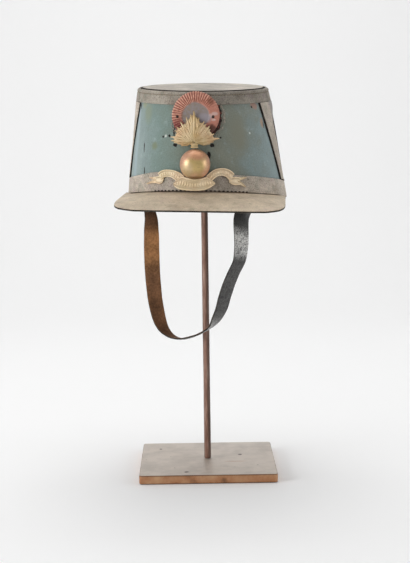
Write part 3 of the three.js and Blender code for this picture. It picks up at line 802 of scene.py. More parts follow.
cockadeShape = {
    "x": -3.4, "z": 77.8, "back": 2.0, "radius": 24.7, "ring": 11, "thickness": 3.0, "dish": 0.9,
    "flutes": 54, "fluteDepth": 0.5, "steps": 54 * 12}

cockadeLook = {
    "ring": "#b57a68",
    "ringWornAndHighlight": "#dfae98",
    "ringDarkAndShade": "#7c4238",
    "crimson": "#7b3638",
    "middle": "#897b6d",
    "middleBlue": "#8f8687",
    "chip": "#c4a39a",
}


# Waxed linen thread, two plies twisted: matt, and dark with wax and dirt.
def makeThread(name, colour):
    material, tree = newMaterial(name, {"Roughness": 0.8, "Specular IOR Level": 0.3})
    place = addNode(tree, "TexCoord").outputs["Object"]
    ply = addNode(tree, "TexNoise", {"Scale": 900, "Detail": 2}, {"Vector": place})
    tone = addNode(tree, "MapRange", {"To Min": 0.6, "To Max": 1.4}, {"Value": ply})
    toned = addNode(tree, "VectorMath", {"operation": "SCALE", 0: toLinear(colour)[:3]}, {"Scale": tone})
    finishSurface(tree, {"Base Color": toned})
    return material


# Stamped sheet under oil paint: a brick-red ring with pale rubbed places, a painted highlight on the crests of its
# flutes and painted shade in their grooves over its left and upper part, a grey-violet middle, and chips round the two
# pins.
def makeCockadePaint(look, shape):
    material, tree = newMaterial("chippedOilPaint", {"Roughness": 0.55, "Specular IOR Level": 0.4})
    place = addNode(tree, "TexCoord").outputs["Object"]
    marks = addNode(tree, "UVMap", {"uv_map": "marks"})
    radius = addNode(tree, "VectorMath", {"operation": "LENGTH"}, {0: marks})
    grain = addNode(tree, "TexNoise", {"Scale": 380, "Detail": 4, "Roughness": 0.65}, {"Vector": place})
    cloud = addNode(tree, "TexNoise", {"Scale": 90, "Detail": 4}, {"Vector": place})
    uneven = addNode(tree, "Math", {"operation": "MULTIPLY_ADD", 1: 0.006, 2: -0.003}, {0: cloud})
    reach = addNode(tree, "Math", {"operation": "ADD"}, {0: radius.outputs["Value"], 1: uneven})
    inRing = addNode(tree, "MapRange", {
        "From Min": (shape["radius"] - shape["ring"] - 0.8) * mm,
        "From Max": (shape["radius"] - shape["ring"] + 0.8) * mm}, {"Value": reach})
    split = addNode(tree, "SeparateXYZ", None, {0: marks})
    angle = addNode(tree, "Math", {"operation": "ARCTAN2"}, {0: split.outputs["X"], 1: split.outputs["Y"]})
    turns = addNode(tree, "Math", {"operation": "MULTIPLY", 1: shape["flutes"]}, {0: angle})
    crest = addNode(tree, "Math", {"operation": "COSINE"}, {0: turns})
    # Painted highlight on the flutes' crests and painted shade in their grooves.
    crestTone = addNode(tree, "MapRange", {"From Min": -1.0, "From Max": 0.1, "To Min": -0.3, "To Max": 0.26},
                        {"Value": crest})
    fluted = addNode(tree, "MapRange", {"From Min": 0.004, "From Max": -0.008, "To Min": 0.15, "To Max": 1.0},
                     {"Value": split.outputs["X"]})
    upper = addNode(tree, "MapRange", {"From Min": 0.006, "From Max": 0.02}, {"Value": split.outputs["Y"]})
    flutedAll = addNode(tree, "Math", {"operation": "MAXIMUM"}, {0: fluted, 1: upper})
    crestUsed = addNode(tree, "Math", {"operation": "MULTIPLY"}, {0: crestTone, 1: flutedAll})
    tone = addNode(tree, "Math", {"operation": "ADD"}, {0: crestUsed, 1: grain})
    red = addNode(tree, "ValToRGB", {"ramp": [
        (0.12, look["ringDarkAndShade"]), (0.42, look["ring"]), (0.62, look["ring"]), (0.92, look["ringWornAndHighlight"])]},
        {"Fac": tone})
    low = addNode(tree, "MapRange", {"From Min": -0.002, "From Max": -0.01, "To Max": 0.75},
                  {"Value": split.outputs["Y"]})
    onLeft = addNode(tree, "MapRange", {"From Min": 0.006, "From Max": -0.008, "To Min": 0.25},
                     {"Value": split.outputs["X"]})
    lowLeft = addNode(tree, "Math", {"operation": "MULTIPLY"}, {0: low, 1: onLeft})
    redLow = addNode(tree, "Mix", {"data_type": "RGBA", 7: toLinear(look["crimson"])},
                     {"Factor": lowLeft, 6: red.outputs[0]})
    middle = addNode(tree, "ValToRGB", {"ramp": [(0.36, look["middle"]), (0.62, look["middleBlue"])]},
                     {"Fac": grain})
    mixed = addNode(tree, "Mix", {"data_type": "RGBA"}, {"Factor": inRing, 6: middle, 7: redLow.outputs[2]})
    ragged = addNode(tree, "MapRange", {"To Min": -0.8, "To Max": 0.8}, {"Value": grain})
    chips = [
        (19.6, 1.8, 2.2, 1.4, look["chip"]), (15.6, -0.6, 1.3, 1.6, look["chip"]),
        (18.6, -4.4, 1.6, 0.9, look["chip"]), (17.2, -14.0, 3.2, 3.4, "#5c372c"), (15.5, 15.0, 2.4, 3.0, "#93604e"),
        (9.0, -2.5, 5.0, 3.2, "#968e93"), (18.2, -1.4, 1.1, 1.1, "#241a17"), (-18.9, -1.4, 1.1, 1.1, "#2a1a15")]
    colour, _ = paintSpots(tree, marks, ragged, [(*chip, 0.8) for chip in chips], mixed.outputs[2])
    finishSurface(tree, {"Base Color": colour}, grain, 0.35, 0.3)
    return material


def addCockade(shape):
    steps = shape["steps"]
    angle = np.linspace(0, 2 * math.pi, steps, endpoint=False)
    outer, inner, thick = shape["radius"], shape["radius"] - shape["ring"], shape["thickness"]
    profile = [(outer - 1.2, 0), (outer - 0.4, 0.25), (outer, 0.9), (outer, 1.7), (outer - 0.3, 2.3)]
    profile += [(r, thick - 0.06 * abs(r - outer + 3.5)) for r in np.linspace(outer - 0.9, inner + 0.6, 9)]
    profile += [(inner, thick - shape["dish"]), (inner - 0.8, thick - shape["dish"] - 0.15)]
    profile += [(r, thick - shape["dish"] - 0.2 + 0.3 * (1 - r / inner)) for r in np.linspace(inner - 2, 0.2, 10)]
    side = np.maximum(smoothStep(0.35, -0.25, np.sin(angle)), smoothStep(0.2, 0.75, np.cos(angle)))
    depth = shape["fluteDepth"] * (0.12 + 0.88 * side)
    rings, marks = [], []
    for radius, height in profile:
        share = smoothStep(inner - 0.2, inner + 2, radius) * smoothStep(outer + 0.4, outer - 1.4, radius)
        edge = (0.35 + 0.65 * share) if radius > inner else share
        lift = depth * np.cos(shape["flutes"] * angle) * edge * (height > 1)
        scallop = 0.28 * side * np.cos(shape["flutes"] * angle) * (radius > outer - 1)
        x, z = (radius + scallop) * np.sin(angle), (radius + scallop) * np.cos(angle)
        wear = 0.2 * np.sin(3 * angle + radius * 0.3)
        rings.append(platePoint(shape["x"] + x, shape["z"] + z, shape["back"] + height + lift + wear * (height > 0)))
        marks.append(np.stack([x, z], -1))
    points = np.stack(rings, 0)
    addPiece("cockadeDisc", points, skinFaces(len(rings), steps), [makeCockadePaint(cockadeLook, shape)],
             ["cockade"], marks=np.stack(marks, 0))
    # A dark sheet that shows past the disc's right edge: painted shadow of the gap where the disc stands off the cloth,
    # with the madder-red leather backing showing in worn patches.
    around = np.linspace(0, 2 * math.pi, 240, endpoint=False)
    ragged = 0.5 * np.sin(7 * around) + 0.6 * np.sin(19 * around + 1) + 0.5 * np.sin(43 * around) * np.sin(3 * around)
    rim = [(0.94, 0.3), (1.0, 0.45), (1.0, 0.8), (0.97, 1.0)]
    skins = []
    for share, height in rim:
        reach = (shape["radius"] + 0.6 + 0.7 * ragged) * share
        x = shape["x"] + 0.8 + reach * np.sin(around)
        z = shape["z"] - 1.1 + reach * np.cos(around)
        low = frontPoint(np.clip(x, -60, 60), z, 0.2 + height)
        skins.append(low)
    backing = makeEdgeDye("madderBackingAndGapShadow", "#221512", "#7a4538")
    addPiece("cockadeBackingAndGapShadow", np.stack(skins, 0), skinFaces(len(rim), 240), [backing])
    # Cloth frayed pale round the backing.
    rolls = np.random.default_rng(8)
    hairs = []
    for turn in np.radians(np.concatenate([rolls.uniform(52, 145, 80), rolls.uniform(222, 255, 20)])):
        reach = shape["radius"] + rolls.uniform(1.2, 3.4)
        length = rolls.uniform(1.5, 4.5)
        heading = turn + math.pi / 2 + rolls.uniform(-0.6, 0.6)
        along = np.linspace(0, 1, 6)
        x = shape["x"] + 1.1 + reach * math.sin(turn) + length * along * math.sin(heading)
        z = shape["z"] - 1.5 + reach * math.cos(turn) + length * along * math.cos(heading)
        x, z = x + rolls.uniform(-0.5, 0.5) * along ** 2, z + rolls.uniform(-0.5, 0.5) * along ** 2
        size = 0.2 * np.array([0.3, 1, 1, 0.9, 0.6, 0.15])
        rows = []
        for a in np.linspace(0, 2 * math.pi, 5, endpoint=False):
            across = size * math.cos(a)
            rows.append(frontPoint(x + across * math.cos(heading), z - across * math.sin(heading),
                                   0.15 + rolls.uniform(0, 0.1) + size * (1 + math.sin(a))))
        hairs.append((np.stack(rows, 1),))
    points, faces, _ = joinSkins(hairs)
    addPiece("frayedWool", points, faces, [makeThread("bleachedWoolFibre", "#b3a99c")])
    # The two pins that hold it on.
    pins = []
    for x, z in ((18.2, -1.4), (-18.9, -1.4)):
        turn = np.linspace(0, 2 * math.pi, 16, endpoint=False)
        loops = []
        for radius, height in ((0.9, 2.2), (0.95, 3.25), (0.7, 3.55), (0.25, 3.7)):
            loops.append(platePoint(shape["x"] + x + radius * np.sin(turn), shape["z"] + z + radius * np.cos(turn),
                                    shape["back"] + height - 0.35))
        pins.append((np.stack(loops, 0),))
    points, faces, _ = joinSkins(pins)
    addPiece("cockadePins", points, faces, [edgeDye])


addCockade(cockadeShape)
print("cockade done")


# ---- badge ----

giltLook = {"gilt": "#d8c49f", "worn": "#c3a678", "dirt": "#8d7450", "copper": "#cf9a7a", "olive": "#a99c5c"}


# Stamped brass once gilded: the gilding is pale and dull on the high places, and brown wax
# and dirt fill the low ones.
def makeGilt(name, look, tarnish, roughness, spots=(), metal=0.6):
    material, tree = newMaterial(name, {
        "Metallic": metal, "Roughness": roughness, "Specular IOR Level": 0.5})
    place = addNode(tree, "TexCoord").outputs["Object"]
    cloud = addNode(tree, "TexNoise", {"Scale": 75, "Detail": 4, "Roughness": 0.55}, {"Vector": place})
    base = addNode(tree, "ValToRGB", {"ramp": [(0.35, look["worn"]), (0.6, look["gilt"])]}, {"Fac": cloud})
    other = addNode(tree, "TexNoise", {"Scale": 60, "Detail": 2}, {"Vector": place})
    copper = addNode(tree, "MapRange", {"From Min": 0.5, "From Max": 0.66, "To Max": tarnish}, {"Value": other})
    coppered = addNode(tree, "Mix", {"data_type": "RGBA", 7: toLinear(look["copper"])},
                       {"Factor": copper, 6: base.outputs[0]})
    olive = addNode(tree, "MapRange", {"From Min": 0.46, "From Max": 0.34, "To Max": tarnish}, {"Value": other})
    olived = addNode(tree, "Mix", {"data_type": "RGBA", 7: toLinear(look["olive"])},
                     {"Factor": olive, 6: coppered.outputs[2]})
    colour = olived.outputs[2]
    if spots:
        marks = addNode(tree, "UVMap", {"uv_map": "marks"})
        ragged = addNode(tree, "MapRange", {"To Min": -0.8, "To Max": 0.8}, {"Value": cloud})
        colour, _ = paintSpots(tree, marks, ragged, [(*spot, 1.2) for spot in spots], colour)
    hollow = addNode(tree, "NewGeometry").outputs["Pointiness"]
    fine = addNode(tree, "TexNoise", {"Scale": 700, "Detail": 3}, {"Vector": place})
    dirtPlace = addNode(tree, "MapRange", {"From Min": 0.5, "From Max": 0.43}, {"Value": hollow})
    speck = addNode(tree, "MapRange", {"From Min": 0.6, "From Max": 0.72, "To Max": 0.5}, {"Value": fine})
    dirt = addNode(tree, "Math", {"operation": "MAXIMUM"}, {0: dirtPlace, 1: speck})
    dirty = addNode(tree, "Mix", {"data_type": "RGBA", 7: toLinear(look["dirt"])},
                    {"Factor": dirt, 6: colour})
    gloss = addNode(tree, "MapRange", {"To Min": roughness - 0.1, "To Max": roughness + 0.16}, {"Value": cloud})
    finishSurface(tree, {"Base Color": dirty.outputs[2], "Roughness": gloss}, fine, 0.15, 0.2)
    return material


flameGilt = makeGilt("dullGiltBrass", giltLook, 0.25, 0.5)
scrollGilt = makeGilt("wornGiltBrass", {**giltLook, "gilt": "#fae8c8", "worn": "#f6dcb6"}, 0.25, 0.45, metal=0.05)
ballSpots = [
    (1.5, -2, 6, 6, "#cbb076"), (-7, -7, 4, 5, "#c9b088"), (3, 9, 5, 3, "#d09a76"), (0, -15, 9, 1.4, "#8a6d4c")]
ballBrass = makeGilt(
    "tarnishedBrassSheet", {**giltLook, "gilt": "#e5b79b", "worn": "#dba78c"}, 0.4, 0.35, ballSpots, 0.45)

flameOutline = np.array([
    [-7.9, 48.6], [-10.9, 48.3], [-14, 46.1], [-17.5, 46], [-21.1, 48], [-25.4, 49.6],
    [-28.3, 51.6], [-25.5, 53.9], [-28.7, 55.4], [-23.6, 57.9], [-24.5, 62.1], [-22.7, 65.8],
    [-18.8, 66], [-18.6, 70.6], [-14.2, 68.8], [-12.6, 75.5], [-10, 73.9], [-8.4, 78.5],
    [-6.7, 77.7], [-5, 81.6], [-1.6, 75.9], [0.5, 75.4], [1.2, 71.6], [5.9, 71.7],
    [6.1, 68.2], [8, 68.7], [8.8, 65.6], [11.7, 66.9], [12.3, 63.6], [16.3, 58.9],
    [15.4, 56.4], [21.9, 54.2], [17.7, 52.7], [16.1, 50.6], [12.5, 48.3], [8, 47.4],
    [4.2, 49.2], [0.5, 48.6]])

flameShape = {"root": (-3.7, 49.2), "between": 84, "sections": 16, "width": 2.1, "height": 1.15, "seed": 5}


def addFlame(shape):
    rolls = np.random.default_rng(shape["seed"])
    root = np.array(shape["root"])
    turn = np.arctan2(flameOutline[:, 0] - root[0], flameOutline[:, 1] - root[1])
    reach = np.linalg.norm(flameOutline - root, axis=1)
    order = np.argsort(turn)
    skins = []
    # The sheet behind the tongues, a little smaller than their outline.
    back = []
    for depth in (0.9, 0.0):
        rows = []
        for part in np.linspace(0.05, 0.92, 8):
            place = root + (flameOutline - root) * part
            rows.append(platePoint(place[:, 0], place[:, 1],
                                   badge["standOff"] + depth + 0.8 * (1 - part) * (depth > 0.5)))
        back.append(np.stack(rows, 1))
    skins.append((np.concatenate([back[0], back[1][:, ::-1]], 1),))
    # Tongues to every point of the outline, then shorter ones between and above them.
    tongues = [(turn[i], 1.0, 0.0) for i in order[1:-1]]
    count = shape["between"]
    for k in range(count):
        angle = lerp(turn[order][1], turn[order][-2], (k + rolls.uniform(0.1, 0.9)) / count)
        tongues.append((angle, rolls.uniform(0.45, 0.99), rolls.uniform(0.4, 1.0)))
    for angle, part, layer in tongues:
        length = max(np.interp(angle, turn[order], reach[order]) * part, 5)
        start = (0.03 if layer == 0 else rolls.uniform(0.04, 0.22)) * length
        along = np.linspace(0, 1, shape["sections"])
        way = np.array([math.sin(angle), math.cos(angle)])
        sideways = np.array([way[1], -way[0]])
        sway = rolls.uniform(-0.05, 0.05) * length
        wave = rolls.uniform(0.35, 0.75)
        curve = sway * np.sin(math.pi * along) + wave * np.sin(
            along * rolls.uniform(6, 10) + rolls.uniform(0, 6)) * np.sin(math.pi * along)
        centre = root + way * (start + (length - start) * along)[:, None] + sideways * curve[:, None]
        spread = np.interp(along, [0, 0.25, 0.6, 0.85, 1], [0.35, 0.75, 1.0, 0.86, 0.3])
        width = np.maximum(shape["width"] * spread * rolls.uniform(0.75, 1.1) * (length / 26) ** 0.35, 0.4)
        base = badge["standOff"] + 0.35 + 0.9 * layer * (1 - 0.6 * along) + 1.1 * (1 - along)
        width = width * (1.3 if layer == 0 else 1)
        high = shape["height"] * (width / shape["width"]) ** 0.6
        rows = []
        for across, lift in [(-0.5, 0.0), (-0.4, 0.5), (-0.18, 0.9), (0.0, 1.0), (0.2, 0.86), (0.4, 0.45), (0.5, 0.0),
                             (0, -0.3)]:
            place = centre + sideways * (across * width)[:, None]
            rows.append(platePoint(place[:, 0], place[:, 1], base + lift * high))
        skins.append((np.stack(rows, 1),))
    points, faces, _ = joinSkins(skins)
    addPiece("grenadeFlame", points, faces, [flameGilt], ["grenade_flame"])


collarShape = {"x": -3.6, "bottom": 43.9, "top": 48.6, "halfWidth": 4.2, "depth": 3.4, "standOff": 6.4, "steps": 48}


def addCollar(shape):
    turn = np.linspace(0, 2 * math.pi, shape["steps"], endpoint=False)
    rows = []
    profile = [(0, 0.5), (0.02, 0.86), (0.1, 0.97), (0.2, 0.94), (0.3, 0.84), (0.45, 0.8), (0.6, 0.82), (0.72, 0.93),
               (0.82, 1.02), (0.93, 1.0), (0.99, 0.86), (1.0, 0.5)]
    for part, size in profile:
        x = shape["x"] + shape["halfWidth"] * size * np.sin(turn)
        depth = shape["standOff"] + shape["depth"] * size * (1 + np.cos(turn)) / 2
        rows.append(platePoint(x, 0 * x + lerp(shape["bottom"], shape["top"], part), depth))
    addPiece("grenadeCollar", np.stack(rows, 0), skinFaces(len(profile), shape["steps"]), [flameGilt],
             ["grenade_collar"])


ballShape = {
    "x": -3.1, "z": 27.5, "radius": 15.8, "depth": 12.5, "back": 3.3, "sheet": 0.9, "steps": 120, "inside": 16, "outside": 44}


def addBall(shape):
    turn = np.linspace(0, 2 * math.pi, shape["steps"], endpoint=False)
    centre = frontPoint(shape["x"], shape["z"], shape["back"])
    rings, marks, profile = [], [], []
    innerRadius, innerDepth = shape["radius"] - shape["sheet"], shape["depth"] - shape["sheet"]
    for a in np.linspace(math.pi / 2 - 0.01, 0, shape["inside"]):
        profile.append((innerRadius * math.cos(a), innerDepth * math.sin(a)))
    profile.append((shape["radius"] - 0.4, -0.15))
    for a in np.linspace(0.02, math.pi / 2 - 0.01, shape["outside"]):
        profile.append((shape["radius"] * math.cos(a), shape["depth"] * math.sin(a)))
    for number, (radius, height) in enumerate(profile):
        dent = 0.12 * np.sin(2 * turn + 0.8) * math.sin(height / 3) if number > shape["inside"] + 1 else 0
        x = radius * np.sin(turn)
        z = radius * np.cos(turn)
        rings.append(centre + np.stack([x, -(height + dent + 0 * x), z], -1))
        marks.append(np.stack([x, z], -1))
    addPiece("grenadeBall", np.stack(rings, 0), skinFaces(len(profile), shape["steps"]), [ballBrass],
             ["grenade_ball"], marks=np.stack(marks, 0))


# Scroll parts as stations of (upper x, upper z, lower x, lower z), with how far each part
# stands off the band, because they fold over each other.
scrollParts = {
    "leftTail": (2.4, [(-46.6, 14.4, -46.2, 9.2), (-43, 15.2, -42.6, 8.2), (-39.7, 15.8, -39.4, 7.7),
                       (-37, 15.4, -36.9, 8.8), (-35.4, 13.6, -35.8, 11.0)]),
    "leftUpperProng": (2.5, [(-51.5, 14.7, -51.4, 14.2), (-49.3, 14.7, -49.0, 13.2), (-46.8, 15.0, -46.6, 12.0),
                             (-44, 15.2, -44, 11.6)]),
    "leftLowerProng": (2.6, [(-54, 8.4, -53.9, 7.8), (-51.2, 9.8, -50.8, 8.2), (-48, 11.0, -47.6, 8.5),
                             (-44, 12.0, -44, 8.4)]),
    "leftArch": (3.1, [(-41.0, 18.2, -38.4, 12.2), (-39.8, 19.9, -36.7, 13.2), (-37.8, 21.2, -34.9, 14.0),
                       (-35, 22, -33, 14.6), (-31.3, 22.2, -30.4, 14.8), (-26.5, 21.8, -27, 14.0),
                       (-22.3, 20.7, -23.9, 12.3), (-17.6, 18.6, -21.6, 9.8), (-13.4, 15.4, -18.8, 6.6)]),
    "middle": (3.7, [(-24, 8.2, -24.3, 7.0), (-19.8, 11.6, -22.6, 4.2), (-15.2, 14.6, -18.8, 1.9),
                     (-9.5, 13.2, -12, 0.6), (-3.4, 12.2, -3.6, 0.1), (3.2, 13.0, 5.0, 0.7), (8.6, 14.6, 10.6, 2.6),
                     (12.6, 11.8, 14.2, 5.2), (16.6, 8.9, 16.9, 7.6)]),
    "rightArch": (3.1, [(8.0, 15.6, 11.6, 8.4), (11.4, 19.0, 14.8, 11.7), (15.6, 22.2, 17.5, 14.4),
                        (19.6, 23.7, 20.4, 15.9), (23.8, 24.1, 23.8, 16.3), (27.6, 23.6, 26.4, 15.6),
                        (31.2, 22.2, 28.6, 14.2), (33.6, 20.4, 30.3, 12.2), (35.0, 18.6, 31.4, 11.2)]),
    "rightTail": (2.4, [(30.4, 12.8, 30.8, 9.6), (33.5, 15.2, 33.6, 7.8), (37.2, 15.7, 36.8, 7.0),
                        (41.2, 15.0, 40.8, 7.8)]),
    "rightUpperProng": (2.5, [(38.6, 15.4, 38.6, 11.6), (41.8, 15.6, 41.6, 12.6), (44.6, 15.9, 44.4, 13.9),
                              (47.4, 15.5, 47.3, 15.0)]),
    "rightLowerProng": (2.6, [(38.6, 12.2, 38.6, 7.4), (41.6, 10.6, 41.0, 7.3), (44.2, 8.6, 43.4, 6.6),
                              (46.6, 5.9, 46.1, 5.4)]),
}


def addScroll():
    skins = []
    for name, (standOff, stations) in scrollParts.items():
        stations = np.array(stations, float)
        steps = 8 * (len(stations) - 1) + 1
        place = np.linspace(0, len(stations) - 1, steps)
        curve = np.empty((steps, 4))
        for i, t in enumerate(place):
            k = min(int(t), len(stations) - 2)
            before, after = stations[max(k - 1, 0)], stations[min(k + 2, len(stations) - 1)]
            a, b, f = stations[k], stations[k + 1], t - k
            m, n = (b - before) / 2, (after - a) / 2
            curve[i] = ((2 * f ** 3 - 3 * f ** 2 + 1) * a + (f ** 3 - 2 * f ** 2 + f) * m
                        + (-2 * f ** 3 + 3 * f ** 2) * b + (f ** 3 - f ** 2) * n)
        # Raised borders and a sunk field, as (share across, height).
        loop = [(0, 0), (0, 0.8), (0.02, 1.15), (0.06, 1.2), (0.1, 1.15), (0.13, 0.55), (0.3, 0.45), (0.5, 0.47),
                (0.7, 0.45), (0.87, 0.55), (0.9, 1.15), (0.94, 1.2), (0.98, 1.15), (1, 0.8), (1, 0), (0.5, 0)]
        rows = []
        waver = 0.5 * np.sin(np.linspace(0, math.pi * 2.2, steps) + len(skins))
        for part, height in loop:
            x = lerp(curve[:, 2], curve[:, 0], part)
            z = lerp(curve[:, 3], curve[:, 1], part)
            rows.append(frontPoint(x, z, standOff + height + waver * (0.5 if height > 0 else 0.4)))
        skins.append((np.stack(rows, 1),))
        if name in ("leftArch", "middle", "rightArch"):
            # A plain row of raised lozenges along the field.
            middle = (curve[:, :2] + curve[:, 2:]) / 2
            walk = np.concatenate([[0], np.cumsum(np.linalg.norm(np.diff(middle, axis=0), axis=1))])
            high = np.linalg.norm(curve[:, :2] - curve[:, 2:], axis=1)
            for spot in np.arange(2.4, walk[-1] - 1.8, 2.5):
                x, z = (np.interp(spot, walk, middle[:, i]) for i in (0, 1))
                edge = np.array([np.interp(spot, walk, (curve[:, i] - curve[:, i + 2]) / high) for i in (0, 1)])
                run = np.array([edge[1], -edge[0]])
                size = np.interp(spot, walk, high)
                if size < 5:
                    continue
                wave = np.interp(spot, walk, waver) * 0.5
                rings = []
                for scale, height in ((1, 0.35), (0.8, 0.95), (0.25, 1.2)):
                    ring = []
                    for a in np.linspace(0, 2 * math.pi, 8, endpoint=False):
                        far = 1.0 if round(a / (math.pi / 4)) % 2 == 0 else 0.62
                        reach = edge * math.cos(a) * 0.27 * size + run * math.sin(a) * 0.8
                        point = np.array([x, z]) + scale * far * reach
                        ring.append(frontPoint(point[0], point[1], standOff + height + wave))
                    rings.append(np.array(ring).reshape(8, 3))
                skins.append((np.stack(rings, 0),))
    points, faces, _ = joinSkins(skins)
    addPiece("badgeScroll", points, faces, [scrollGilt], ["scroll"])


addFlame(flameShape)
addCollar(collarShape)
addBall(ballShape)
addScroll()
print("badge done")


# ---- chin strap ----

strapShape = {"width": 17.4, "thickness": 2.1, "steps": 420, "anchorInset": 7.0, "anchorTop": 30, "anchorFoot": 15}

# Centre line on the stand's axes, in millimetres, and the turn of the width in degrees.
strapPath = [
    (-65.5, 17.2, 301, 68), (-60.6, 20.5, 284.1, 44), (-60, 21.5, 265, 22), (-60.1, 22.5, 243.3, 12),
    (-59.4, 22.5, 215.9, 12), (-57, 22.5, 188.5, 20), (-54.5, 21.5, 174.8, 28), (-50.3, 19.5, 160.2, 42),
    (-42.5, 14.4, 149.6, 57), (-31.7, 5.2, 146.2, 74), (-18.1, -6.2, 149.5, 86), (-0.2, -18.6, 159.0, 90),
    (6.4, -22.8, 164.2, 74), (12.2, -26, 173, 52), (17.6, -28.6, 185.4, 43), (22.2, -30.4, 201.9, 40),
    (29.2, -32.3, 220.7, 38), (36.7, -33.3, 236.1, 36), (39.2, -33.4, 249.2, 31), (39.7, -33.4, 264.5, 25),
    (40.4, -32.4, 286.2, 19), (51.4, -25.5, 304, 36), (67.8, -17, 313, 64)]

strapLook = {
    "black": "#100f0e", "grey": "#2d2b2a", "chalk": "#dcdbd8", "tilt": 0.25,
    "flesh": "#7b573c", "fleshLight": "#a5754b", "fleshDark": "#33231a"}


# Grain side: black lacquer, still glossy, crazed across where the strap has been bent.
def makeStrapGrain(look):
    material, tree = newMaterial("blackLacquerLeather", {
        "Roughness": 0.5, "Specular IOR Level": 0.3, "Coat Weight": 0.4, "Coat Roughness": 0.14})
    place = addNode(tree, "TexCoord").outputs["Object"]
    marks = addNode(tree, "UVMap", {"uv_map": "marks"})
    cloud = addNode(tree, "TexNoise", {"Scale": 90, "Detail": 4, "Roughness": 0.6}, {"Vector": place})
    brushed = addNode(tree, "VectorMath", {"operation": "MULTIPLY", 1: (0.12, 1.0, 1)}, {0: marks})
    lines = addNode(tree, "TexNoise", {"Scale": 1500, "Detail": 3}, {"Vector": brushed})
    tone = addNode(tree, "Math", {"operation": "ADD"}, {0: cloud, 1: lines})
    base = addNode(tree, "ValToRGB", {"ramp": [(0.4, look["black"]), (0.62, look["grey"])]},
                   {"Fac": addNode(tree, "Math", {"operation": "MULTIPLY", 1: 0.5}, {0: tone})})
    cells = addNode(tree, "TexVoronoi", {"feature": "SMOOTH_F1", "Scale": 1 / (1.5 * mm), "Smoothness": 0.3},
                    {"Vector": marks})
    edges = addNode(tree, "TexVoronoi", {"feature": "DISTANCE_TO_EDGE", "Scale": 1 / (1.5 * mm)}, {"Vector": marks})
    crack = addNode(tree, "MapRange", {"From Min": 0.0, "From Max": 0.1, "To Min": 1.0, "To Max": 0.0},
                    {"Value": edges})
    split = addNode(tree, "SeparateXYZ", None, {0: place})
    # It has crazed whitish where it bends in front of the rod, and a band below the visor is painted near-white as a
    # highlight over the crazing.
    sideways = addNode(tree, "SeparateXYZ", None, {0: marks})
    tilted = addNode(tree, "Math", {"operation": "MULTIPLY_ADD", 1: look["tilt"]},
                     {0: sideways.outputs["Y"], 2: split.outputs["Z"]})
    height = addNode(tree, "MapRange", {"From Min": 0.158, "From Max": 0.32}, {"Value": tilted})
    crazing = addNode(tree, "ValToRGB", {"ramp": [
        (0.0, 0.4), (0.05, 0.5), (0.12, 0.09), (0.5, 0.07), (0.57, 0.9), (0.66, 0.95), (0.74, 0.05), (0.8, 0.0)]},
        {"Fac": height})
    patchy = addNode(tree, "TexNoise", {"Scale": 170, "Detail": 4, "Roughness": 0.7}, {"Vector": place})
    patchShare = addNode(tree, "MapRange", {"From Min": 0.3, "From Max": 0.5}, {"Value": patchy})
    flaked = addNode(tree, "Math", {"operation": "MULTIPLY"}, {0: patchShare, 1: crazing})
    flakes = addNode(tree, "TexVoronoi", {"Scale": 1 / (0.9 * mm)}, {"Vector": marks})
    flakeTone = addNode(tree, "SeparateXYZ", None, {0: flakes.outputs["Color"]})
    flake = addNode(tree, "MapRange", {"From Min": 0.1, "From Max": 0.6}, {"Value": flakeTone.outputs["X"]})
    lifted = addNode(tree, "Math", {"operation": "MAXIMUM"}, {0: crack, 1: flake})
    # Whitish chalk of crazed lacquer, and the painted highlight in the band below the visor.
    chalk = addNode(tree, "Math", {"operation": "MULTIPLY"}, {0: lifted, 1: flaked})
    crazed = addNode(tree, "Mix", {"data_type": "RGBA", 7: toLinear(look["chalk"])},
                     {"Factor": chalk, 6: base.outputs[0]})
    domes = addNode(tree, "Math", {"operation": "MULTIPLY"}, {0: cells.outputs["Distance"], 1: crazing})
    relief = addNode(tree, "Math", {"operation": "MULTIPLY_ADD", 1: 0.12}, {0: tone, 2: domes})
    finishSurface(tree, {"Base Color": crazed.outputs[2]}, relief, 0.9, 0.7, ("Normal", "Coat Normal"))
    return material


# Flesh side: fibrous brown suede, paler in a band part way up and darker towards the top.
def makeStrapFlesh(look):
    material, tree = newMaterial("bridleLeatherFlesh", {"Roughness": 0.85, "Specular IOR Level": 0.3})
    place = addNode(tree, "TexCoord").outputs["Object"]
    marks = addNode(tree, "UVMap", {"uv_map": "marks"})
    split = addNode(tree, "SeparateXYZ", None, {0: place})
    fibres = addNode(tree, "TexNoise", {"Scale": 480, "Detail": 4, "Roughness": 0.65}, {"Vector": place})
    cloud = addNode(tree, "TexNoise", {"Scale": 70, "Detail": 4}, {"Vector": place})
    worn = addNode(tree, "ValToRGB", {"ramp": [
        (0.0, look["flesh"]), (0.42, look["flesh"]), (0.56, look["fleshLight"]), (0.69, look["fleshLight"]),
        (0.78, look["flesh"]), (0.95, look["fleshDark"])]},
        {"Fac": addNode(tree, "MapRange", {"From Min": 0.15, "From Max": 0.31}, {"Value": split.outputs["Z"]})})
    toneValue = addNode(tree, "Math", {"operation": "ADD"}, {0: fibres, 1: cloud})
    tone = addNode(tree, "MapRange", {"From Min": 0.7, "From Max": 1.3, "To Min": 0.45, "To Max": 1.55},
                   {"Value": toneValue})
    toned = addNode(tree, "VectorMath", {"operation": "SCALE"}, {0: worn.outputs[0], "Scale": tone})
    finishSurface(tree, {"Base Color": toned}, fibres, 0.5, 0.3)
    return material


def onHat(point):
    return np.asarray(point) @ hatTurn.T + np.array(hatPose["place"])


